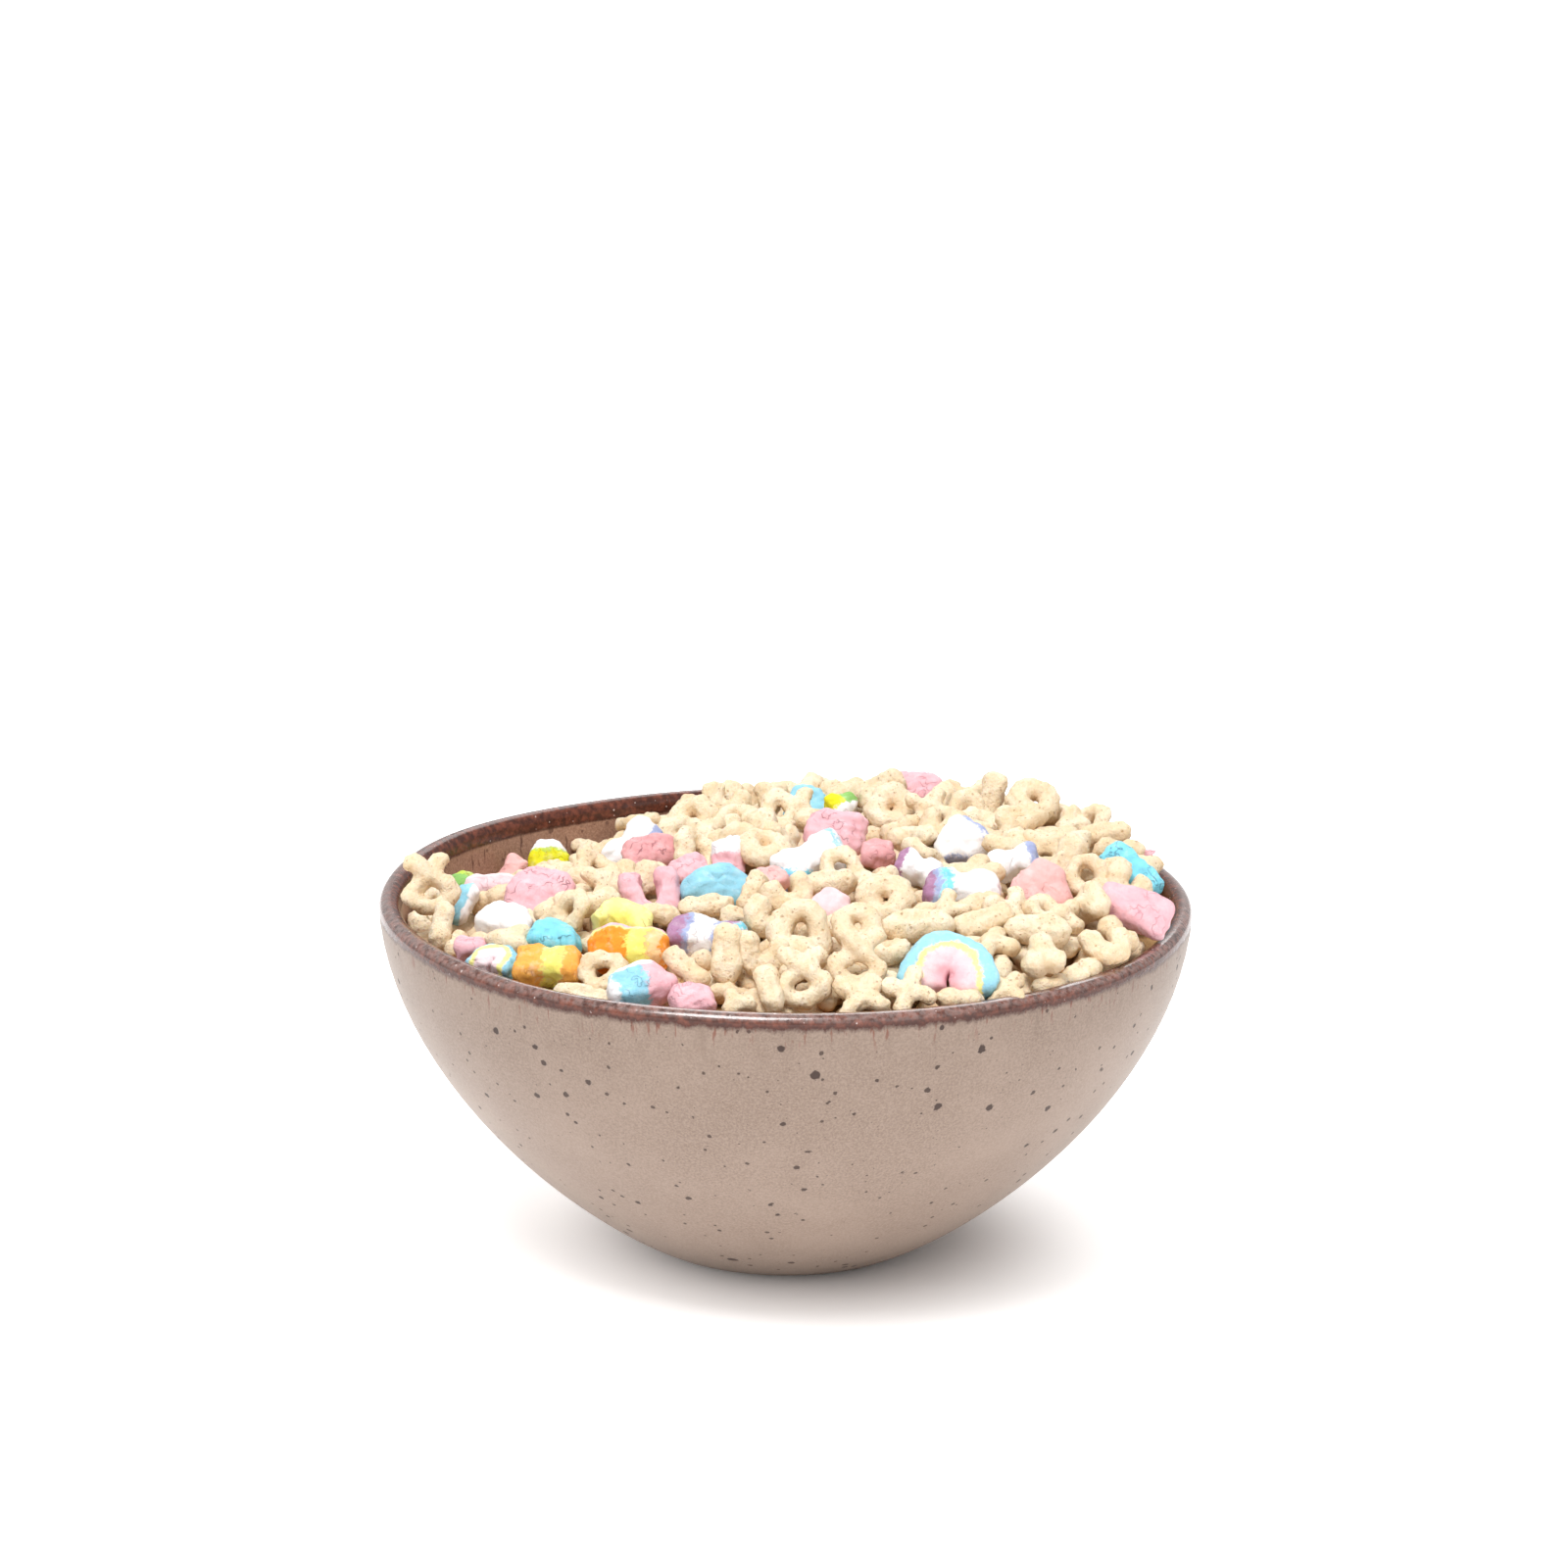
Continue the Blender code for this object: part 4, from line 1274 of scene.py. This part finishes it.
            # Painted shade: the mark browns hollows, faces that turn down and points sunk below the heap's
            # mean surface, where shade falls.
            sunk = self.ground.mean(place[:, 0], place[:, 1]) + self.bowl.height - place[:, 2]
            under = 0.5 * np.clip(0.55 - (shape.normals @ turns[number].T)[:, 2], 0.0, 1.0)
            hollow = np.clip(shape.hollow + under + np.clip((sunk - 0.4) / 5.0, 0.0, 1.0), 0.0, 1.0)
            marks = {"tone": np.full(len(local), tone), "hollow": hollow}
            skins[piece.form].append(Skin(place * MM, [shape.quads], marks))
        dough = ToastedOat().dress()
        LOG.info("settled %d oat pieces", len(oats))
        return [joined(parts).make(f"oats_{form.value}", dough) for form, parts in skins.items()]


# --------------------------------------------------------------------------------- marshmallows


class Puff(Enum):
    """The shapes that the marshmallow pieces are cut to."""

    ROUND = "round"
    BLOCK = "block"
    BAR = "bar"
    LUMP = "lump"
    WAISTED = "waisted"
    HALF_MOON = "half_moon"
    GUMDROP = "gumdrop"
    CLOVER = "clover"
    ARCH = "arch"
    HORSESHOE = "horseshoe"
    CRESCENT = "crescent"


BENT = {
    Puff.ARCH: (190.0, 0.235, 0.0),
    Puff.HORSESHOE: (205.0, 0.19, 0.0),
    Puff.CRESCENT: (130.0, 0.20, 0.55),
}


@dataclass
class Marshmallow:
    """One puffed piece: its CAD node, form, size, turn and powder."""

    node: str
    form: Puff
    size: tuple[float, float, float]
    turn: tuple[float, float, float]
    powder: MarshmallowPowder
    wrinkle: float = 0.16
    edge: float = 3.0
    dome: float = 0.06
    section: float = 2.8
    slab_grid: tuple[int, int] = (30, 84)
    band_grid: tuple[int, int] = (44, 40)

    def __post_init__(self) -> None:
        """Takes the middle of the CAD node's box, in millimetres over the foot."""
        low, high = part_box(self.node)
        self.middle = np.array((low + high) * 0.5) / MM
        self.matrix = turn_matrix(*self.turn)
        self.name_seed = sum(ord(letter) * (place + 1) for place, letter in enumerate(self.node))

    def balls(self) -> np.ndarray:
        """Balls that fill the piece, as rows of x, y, z over the rim's plane and radius.

        Returns:
            The rows, in millimetres.
        """
        length, width, thick = self.size
        ball = 0.5 * thick
        grid_x = np.linspace(-1.0, 1.0, 3) * max(0.0, 0.5 * length - ball)
        grid_y = np.linspace(-1.0, 1.0, 3) * max(0.0, 0.5 * width - ball)
        x, y = (part.ravel() for part in np.meshgrid(grid_x, grid_y))
        centre = self.middle - np.array([0.0, 0.0, Bowl.height])
        places = stack(x, y, 0.0) @ self.matrix.T + centre
        return np.column_stack([places, np.full(len(places), ball)])

    def keep_out(self) -> list[tuple[float, float, float, float]]:
        """Where oat middles may not start: each ball's centre and its radius with a margin.

        Returns:
            Rows of x, y, z and reach.
        """
        rows = self.balls().tolist()
        over = [(x, y - 1.2 * radius, z + 1.4 * radius, radius + 3.4) for x, y, z, radius in rows]
        return [(x, y, z, radius + 2.3) for x, y, z, radius in rows] + over

    def outline(self, theta: np.ndarray) -> tuple[np.ndarray, np.ndarray]:
        """The flat outline in half lengths and half widths: |u|^n + |v|^n = 1, then bent to the form.

        Args:
            theta: Angles round the outline.

        Returns:
            The outline's u and v at each angle.
        """
        powers = {Puff.ROUND: 2.1, Puff.BLOCK: 4.0, Puff.BAR: 5.0, Puff.LUMP: 2.6, Puff.WAISTED: 4.0}
        reach = superellipse(theta, powers.get(self.form, 2.2))
        if self.form is Puff.LUMP:
            reach = reach * (0.94 + 0.06 * np.cos(3.0 * theta + 0.6))
        if self.form is Puff.CLOVER:
            reach = reach * (0.82 + 0.18 * np.cos(3.0 * theta))
        u, v = reach * np.cos(theta), reach * np.sin(theta)
        if self.form is Puff.WAISTED:
            v = v * (1.0 - 0.30 * np.exp(-((u / 0.35) ** 2)))
        if self.form is Puff.HALF_MOON:
            v = (np.where(v < 0.0, 0.35 * v, v) - 0.32) / 0.68
        if self.form is Puff.GUMDROP:
            u = u * (0.82 - 0.26 * v) / 0.9
        return u, v

    def slab(self) -> tuple[np.ndarray, np.ndarray]:
        """A puffed slab: the outline drawn in over a superellipse edge and domed on its two faces.

        Returns:
            Rings of points in millimetres, and each point's share of the half sizes.
        """
        count, sides = self.slab_grid
        u, v = self.outline(around(sides))
        length, width, thick = (0.5 * value for value in self.size)
        lean = np.linspace(-0.5 * math.pi, 0.5 * math.pi, 400)
        power = 2.0 / self.edge
        inset = np.cos(lean).clip(0.0) ** power
        rise = np.sign(np.sin(lean)) * np.abs(np.sin(lean)) ** power
        steps = np.hypot(np.diff(inset) * 0.5 * (length + width), np.diff(rise) * thick)
        travel = np.concatenate([[0.0], np.cumsum(steps)])
        even = np.linspace(0.02, 0.98, count) * travel[-1]
        inset, rise = (np.interp(even, travel, values)[:, None] for values in (inset, rise))
        lay = stack(inset * u, inset * v, rise * (1.0 + self.dome * (1.0 - inset**2)))
        return lay * np.array([length, width, thick]), lay

    def band(self) -> tuple[np.ndarray, np.ndarray]:
        """A bent piece: a rounded box section carried along an arc, drawn in over each end.

        Returns:
            Rings of points in millimetres, and each point's share along, across and up the band.
        """
        span, breadth, taper = BENT[self.form]
        span = math.radians(span)
        length, width, thick = self.size
        count, sides = self.band_grid
        share = np.linspace(-1.0, 1.0, count)
        angle = 0.5 * math.pi - 0.5 * span * share
        broad = breadth * length
        half = broad * (1.0 - taper * share**2)
        radius = 0.5 * length - broad
        low = math.cos(0.5 * span) * radius
        end = 0.5 * half[0]
        squeeze = (width - broad - end) / (radius - low)
        x = radius * np.cos(angle) / math.sin(min(0.5 * span, 0.5 * math.pi))
        y = (radius * np.sin(angle) - 0.5 * (radius + low)) * squeeze - 0.5 * (broad - end)
        path = stack(x, y)
        along = np.gradient(path, axis=0)
        along /= length_of(along)
        lean = np.linspace(86.0, 12.0, 8) * math.pi / 180.0
        reach, inset = np.sin(lean) ** 0.7, np.cos(lean) ** 0.7
        head = path[0] - along[0] * (end * reach)[:, None]
        tail = (path[-1] + along[-1] * (end * reach)[:, None])[::-1]
        path = np.concatenate([head, path, tail])
        half = np.concatenate([half[0] * inset, half, half[-1] * inset[::-1]])[:, None]
        tall = np.concatenate([inset, np.ones(len(share)), inset[::-1]])[:, None] * 0.5 * thick
        share = np.pad(share, len(inset), "edge")[:, None]
        along = np.pad(along, ((len(inset), len(inset)), (0, 0)), "edge")
        theta = around(sides)
        reach = superellipse(theta, self.section)
        side, up = reach * np.cos(theta), reach * np.sin(theta)
        flat = path[:, None] + stack(-along[:, 1], along[:, 0])[:, None] * (side * half)[..., None]
        rings = stack(flat[..., 0], flat[..., 1], up * tall)
        return rings, stack(share, side * half / broad, up)

    def build(self) -> bpy.types.Object:
        """The piece: its form, roughened by puffs and creases, turned and set in its node's box.

        Returns:
            The marshmallow piece.
        """
        rings, lay = self.band() if self.form in BENT else self.slab()
        normals = ring_normals(rings)
        seed = self.name_seed
        swell = 0.22 * waves(rings, 6.5, seed) + 0.1 * waves(rings, 2.2, seed + 1)
        fold = waves(rings, 5.0, seed + 2)
        where = np.clip(waves(rings, 8.0, seed + 3) + 0.6, 0.0, 1.0)
        swell -= self.wrinkle * 1.6 * np.exp(-((fold / 0.16) ** 2)) * where
        rings = rings + normals * swell[..., None]
        placed = rings @ self.matrix.T
        box = 0.5 * (placed.reshape(-1, 3).min(axis=0) + placed.reshape(-1, 3).max(axis=0))
        skin = ring_skin((placed - box + self.middle) * MM)
        skin.marks["lay"] = with_poles(lay)
        return skin.make(self.node.replace("marsh_", "marshmallow_"), self.powder.dress(self.node))


PINK = shade(242, 188, 196)
ROSE = shade(228, 166, 168)
PALE_PINK = shade(246, 210, 214)
BLUSH = shade(250, 228, 231)
SALMON = shade(248, 190, 186)
WHITE = shade(250, 249, 250)
SKY = shade(134, 220, 240)
AQUA = shade(152, 212, 232)
ICE = shade(160, 220, 238)
LILAC = shade(166, 178, 218)
MAUVE = shade(178, 132, 166)
ORANGE = shade(252, 180, 84)
DEEP_ORANGE = shade(251, 152, 44)
PEACH = shade(253, 206, 150)
YELLOW = shade(253, 243, 122)
LEMON = shade(254, 247, 158)
ACID = shade(236, 234, 40)
LIME = shade(196, 222, 92)
GREEN = shade(146, 200, 110)

# Ways across a piece: along its length, along its width, and between the two.
U, V, SLANT = (1.0, 0.0, 0.0), (0.0, 1.0, 0.0), (0.8, 0.6, 0.0)
OUTSIDE = 2.0


def past(way: Triple, start: float, colour: Triple, soft: float = Band.soft) -> Band:
    """A stripe from a place to the far end of the piece."""
    return Band(way, start, OUTSIDE, colour, soft)


def before(way: Triple, end: float, colour: Triple, soft: float = Band.soft) -> Band:
    """A stripe from the near end of the piece to a place."""
    return Band(way, -OUTSIDE, end, colour, soft)


def powder(base: Triple, *bands: Band, crease: float = 0.35, grain: float = 0.5) -> MarshmallowPowder:
    """Powder of one colour with stripes over it."""
    return MarshmallowPowder(base, bands, crease, grain)


P = Puff
# Node, form, size, turn as spin, tilt and yaw, and powder.
MARSHMALLOWS = (
    ("green_left", P.ROUND, (6, 5.5, 4), (0, 30, -20), powder(GREEN, past(V, 0.45, LIME))),
    ("blue_left", P.BLOCK, (8, 4.5, 4), (70, 50, 0), powder(AQUA, before(V, -0.4, WHITE))),
    ("pink_bar_left", P.BAR, (9, 5, 4.5), (0, 25, 10), powder(PALE_PINK, past(V, 0.3, BLUSH))),
    ("pink_disc", P.ROUND, (12.8, 12.4, 5), (0, 35, -5), powder(PINK, crease=0.6)),
    ("white_left", P.LUMP, (11, 7.5, 6), (-20, 20, 0), powder(WHITE, crease=0.1, grain=0.2)),
    ("cyan_left", P.LUMP, (9.5, 7.5, 6), (-15, 30, 0), powder(SKY, crease=0.7, grain=0.8)),
    ("hat", P.ROUND, (8, 7.5, 6), (0, 50, 0),
     powder(ACID, past(V, 0.4, WHITE), Band(V, 0.3, 0.42, LIME), grain=0.4)),
    ("red_strip", P.BAR, (6.5, 4, 4), (60, 40, 0), powder(SALMON)),
    ("pink_small", P.BLOCK, (5.5, 4.5, 4), (10, 20, 0), powder(PINK)),
    ("rainbow_left", P.ARCH, (9.5, 7, 4.5), (0, 20, -35),
     powder(BLUSH, Band(V, 0.1, 0.55, LEMON), past(V, 0.55, AQUA))),
    ("orange_left", P.WAISTED, (12.2, 8, 6.5), (-5, 30, 0),
     powder(PEACH, before(U, -0.12, ORANGE), Band(U, -0.1, 0.4, YELLOW), past(U, 0.42, ORANGE), grain=0.8)),
    ("orange_mid", P.BLOCK, (13.5, 8.5, 7), (0, 30, 0),
     powder(DEEP_ORANGE, Band(U, -0.05, 0.5, YELLOW), Band(U, 0.5, 0.85, PEACH),
            past(U, 0.85, DEEP_ORANGE), past(V, 0.62, PINK), Band(V, 0.48, 0.64, LEMON), grain=0.7)),
    ("yellow_curl", P.CRESCENT, (14, 7.5, 5), (-25, 35, 0),
     powder(LEMON, before(V, -0.4, YELLOW, 0.3), grain=0.3)),
    ("pink_vee", P.HORSESHOE, (11, 11.5, 5), (190, 40, 0), powder(PINK)),
    ("white_back_left", P.WAISTED, (12.5, 7.5, 6), (50, 42, 0),
     powder(WHITE, past((0.6, -0.8, 0.0), 0.72, LILAC), crease=0.1, grain=0.25)),
    ("pink_lump", P.LUMP, (11, 8, 6), (15, 35, 0), powder(ROSE, crease=0.7, grain=0.8)),
    ("pink_square", P.BLOCK, (7, 6, 5), (20, 35, 0), powder(PINK)),
    ("pink_white", P.BLOCK, (6, 8.5, 5.5), (5, 55, 0), powder(PINK, past(V, 0.22, WHITE))),
    ("half_moon", P.HALF_MOON, (12, 9, 5), (0, 48, 0), powder(AQUA, crease=0.15)),
    ("white_banded", P.BAR, (13.6, 7.5, 6.5), (-12, 25, 0),
     powder(WHITE, before(U, -0.55, MAUVE), Band(U, -0.62, -0.42, LILAC),
            Band(U, 0.2, 0.42, LILAC), Band(U, 0.42, 0.66, MAUVE), Band(U, 0.66, 0.9, SKY), grain=0.7)),
    ("blue_front", P.GUMDROP, (12.5, 9, 6), (20, 20, 0),
     powder(AQUA, past(U, 0.1, PINK), past(V, 0.42, WHITE), before(U, -0.75, WHITE), grain=0.7)),
    ("pink_front", P.BLOCK, (7.5, 6.5, 5), (10, 20, 0), powder(PINK)),
    ("blue_far", P.HALF_MOON, (8.5, 8, 4.5), (0, 40, 0), powder(AQUA, crease=0.15)),
    ("clover", P.CLOVER, (7, 7, 4), (30, 40, 0),
     powder(GREEN, before(U, 0.1, ACID), before(V, -0.2, WHITE))),
    ("pink_far", P.LUMP, (12, 8.5, 6.5), (-10, 45, 0), powder(PINK, before(V, -0.45, ROSE, 0.2))),
    ("pink_behind", P.BLOCK, (5, 4.5, 4), (0, 40, 0), powder(PALE_PINK)),
    ("pink_block", P.BLOCK, (11.2, 8.8, 6), (-8, 42, 0), powder(PINK, crease=0.5)),
    ("white_blue", P.WAISTED, (14, 9, 6), (35, 40, 0),
     powder(WHITE, before(SLANT, -0.66, LILAC), Band(SLANT, -0.8, -0.62, SKY),
            Band(U, 0.78, 0.92, AQUA), crease=0.1, grain=0.4)),
    ("dark_pink", P.BLOCK, (6.5, 5.5, 4), (0, 20, 0), powder(ROSE)),
    ("pale_pink", P.GUMDROP, (8.2, 7.5, 4.5), (0, 40, 0), powder(PALE_PINK, crease=0.1, grain=0.2)),
    ("white_peak", P.GUMDROP, (10.5, 9.5, 6), (5, 52, 0),
     powder(WHITE, past(SLANT, 0.62, LILAC), before(V, -0.8, LILAC), crease=0.1, grain=0.3)),
    ("white_knob", P.WAISTED, (9.5, 6, 5.5), (-20, 30, 0),
     powder(WHITE, before(U, -0.55, MAUVE), crease=0.1, grain=0.5)),
    ("white_block", P.WAISTED, (13.5, 8.5, 6.5), (-5, 30, 0),
     powder(WHITE, before(U, -0.66, MAUVE), Band(U, -0.7, -0.5, LILAC),
            Band(U, -0.5, -0.22, SKY), crease=0.1, grain=0.5)),
    ("white_right", P.WAISTED, (9, 6.5, 5), (15, 40, 0),
     powder(WHITE, past(U, 0.62, LILAC), crease=0.1, grain=0.4)),
    ("salmon", P.GUMDROP, (12, 11.5, 6.5), (-5, 48, 0), powder(SALMON, crease=0.3)),
    ("cyan_right", P.BAR, (12.5, 6.5, 5), (-48, 45, 0), powder(SKY, crease=0.6, grain=0.8)),
    ("pink_right", P.BAR, (13.5, 7.2, 5.5), (-26, 50, 0), powder(PINK, crease=0.3, grain=0.7)),
    ("rainbow", P.ARCH, (17.0, 12.0, 6), (0, 42, 0),
     powder(PALE_PINK, before(V, -0.5, PINK, 0.3), Band(V, 0.08, 0.36, LEMON),
            past(V, 0.36, ICE), crease=0.2, grain=0.4)),
    ("pink_between", P.BLOCK, (6.5, 5.5, 4), (25, 20, 0), powder(SALMON)),
)


@dataclass
class Crumb:
    """A small torn bit of marshmallow that lies on the rim."""

    place: tuple[float, float, float] = (66.6, 24.5, 65.6)
    size: tuple[float, float, float] = (1.5, 0.9, 0.8)
    rough: float = 0.25

    def build(self) -> bpy.types.Object:
        """An ellipsoid, x = a cos(t) cos(s) and so on, roughened by waves.

        Returns:
            The crumb.
        """
        turn = around(32)
        lean = np.linspace(-1.5, 1.5, 16)[:, None]
        ball = stack(np.cos(lean) * np.cos(turn), np.cos(lean) * np.sin(turn), np.sin(lean))
        rings = ball * np.array(self.size)
        rings = rings * (1.0 + self.rough * waves(rings, 1.6, 77))[..., None]
        skin = ring_skin((rings + np.array(self.place)) * MM)
        skin.marks["lay"] = with_poles(ball)
        return skin.make("pink_crumb", powder(PINK).dress("pink_crumb"))


# ---------------------------------------------------------------------------------------- studio


@dataclass
class Studio:
    """A white sweep, soft light, and the camera that looks down on the rim from the front."""

    look_down: float = 16.45
    distance: float = 876.0
    roll: float = 0.68
    lens: float = 111.9
    shift: tuple[float, float] = (-0.0012, 0.0688)
    floor_half: float = 6.0
    world: float = 0.56
    floor_glow: float = 0.52
    shadow_centre: Triple = (0.009, 0.0, 0.0)
    shadow_reach: tuple[float, float] = (20.0, 57.0)
    lights: tuple[tuple[str, Triple, float, float], ...] = (
        ("key_light", (-0.18, -0.36, 0.98), 0.46, 9.2),
        ("fill_light", (0.5, -0.8, 0.4), 0.7, 1.4),
        ("back_light", (0.1, 0.8, 0.75), 0.6, 3.2),
    )

    def build(self, target: Vector) -> None:
        """Makes the floor, the backdrop, the lights and the camera.

        Args:
            target: The middle of the rim's plane, in metres.
        """
        scene = bpy.context.scene
        scene.view_settings.view_transform = "Standard"
        half = self.floor_half
        corners = np.array([[-half, -half, 0.0], [half, -half, 0.0], [half, half, 0.0], [-half, half, 0.0]])
        r = Recipe("white_sweep")
        tone = r.mix(r.noise(40.0, 2.0) * 0.02, (0.96, 0.955, 0.955), (0.9, 0.9, 0.9))
        away = r.vector("DISTANCE", r.place, self.shadow_centre, "Value") * (1.0 / MM)
        glow = r.mix(away.ramp(*self.shadow_reach), (0.0, 0.0, 0.0), (1.0, 1.0, 1.0))
        strength = {"Emission_Color": glow, "Emission_Strength": self.floor_glow}
        finish = r.finish(Base_Color=tone, Roughness=0.9, **strength)
        floor = Skin(corners, [np.array([[0, 1, 2, 3]])]).make("floor", finish)
        world = bpy.data.worlds.new("studio_white")
        world.use_nodes = True
        backdrop = world.node_tree.nodes["Background"].inputs
        backdrop["Color"].default_value = (1.0, 1.0, 1.0, 1.0)
        backdrop["Strength"].default_value = self.world
        scene.world = world
        for light in self.lights:
            self.light(*light, target)
        self.camera(target)

    def camera(self, target: Vector) -> None:
        """The camera, far off in front, that looks down on the target.

        Args:
            target: The middle of the rim's plane, in metres.
        """
        scene = bpy.context.scene
        tilt = math.radians(self.look_down)
        back = Vector((0.0, -math.cos(tilt), math.sin(tilt)))
        lens = bpy.data.cameras.new("camera")
        lens.lens = self.lens
        lens.sensor_width = 36.0
        lens.shift_x, lens.shift_y = self.shift
        lens.clip_start, lens.clip_end = 0.05, 50.0
        camera = bpy.data.objects.new("camera", lens)
        aim = (-back).to_track_quat("-Z", "Y").to_matrix().to_4x4()
        place = Matrix.Translation(target + back * self.distance * MM)
        camera.matrix_world = place @ aim @ Matrix.Rotation(math.radians(self.roll), 4, "Z")
        scene.collection.objects.link(camera)
        scene.camera = camera

    def light(self, name: str, place: Sequence[float], size: float, power: float, target: Vector) -> None:
        """A square soft box that faces the target.

        Args:
            name: The light's name.
            place: Where it hangs, in metres.
            size: Its side, in metres.
            power: Its power, in watts.
            target: What it faces.
        """
        data = bpy.data.lights.new(name, "AREA")
        data.shape, data.size, data.energy = "SQUARE", size, power
        lamp = bpy.data.objects.new(name, data)
        lamp.location = place
        lamp.rotation_euler = (Vector(place) - target).to_track_quat("Z", "Y").to_euler()
        bpy.context.scene.collection.objects.link(lamp)


def seat(piece: bpy.types.Object, slot: str, *nodes: str) -> None:
    """Rides a piece on the one body and hides the CAD nodes that it stands for, if any.

    Args:
        piece: The finished piece.
        slot: The record's material slot; not used.
        *nodes: The CAD nodes that it replaces.
    """
    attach(piece, "root")
    if nodes:
        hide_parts(*nodes)
    LOG.info("%s: %d faces", piece.name, len(piece.data.polygons))


def slot_of(node: str) -> str:
    """The record's material slot of a CAD node, read from its own material."""
    return frame["nodes"][node].data.materials[0].name


def main() -> None:
    """Builds the bowl, the marshmallows, the oat heap and the studio."""
    bowl = Bowl()
    seat(bowl.build(), "speckled_glaze", "bowl")
    marshmallows = []
    for name, form, size, turn, finish in MARSHMALLOWS:
        piece = Marshmallow(f"marsh_{name}", form, size, turn, finish)
        marshmallows.append(piece)
        seat(piece.build(), slot_of(piece.node), piece.node)
    seat(Crumb().build(), slot_of("marsh_pink_right"))
    ground = HeapGround(bowl)
    seat(ground.build(), "toasted_oat", "cereal_heap")
    for piece in OatHeap(bowl, ground).build(marshmallows):
        seat(piece, "toasted_oat", "cereal_heap")
    Studio().build(Vector((0.0, 0.0, bowl.height * MM)))


if __name__ == "__main__":
    logging.basicConfig(level=logging.INFO, format="%(message)s")
    main()
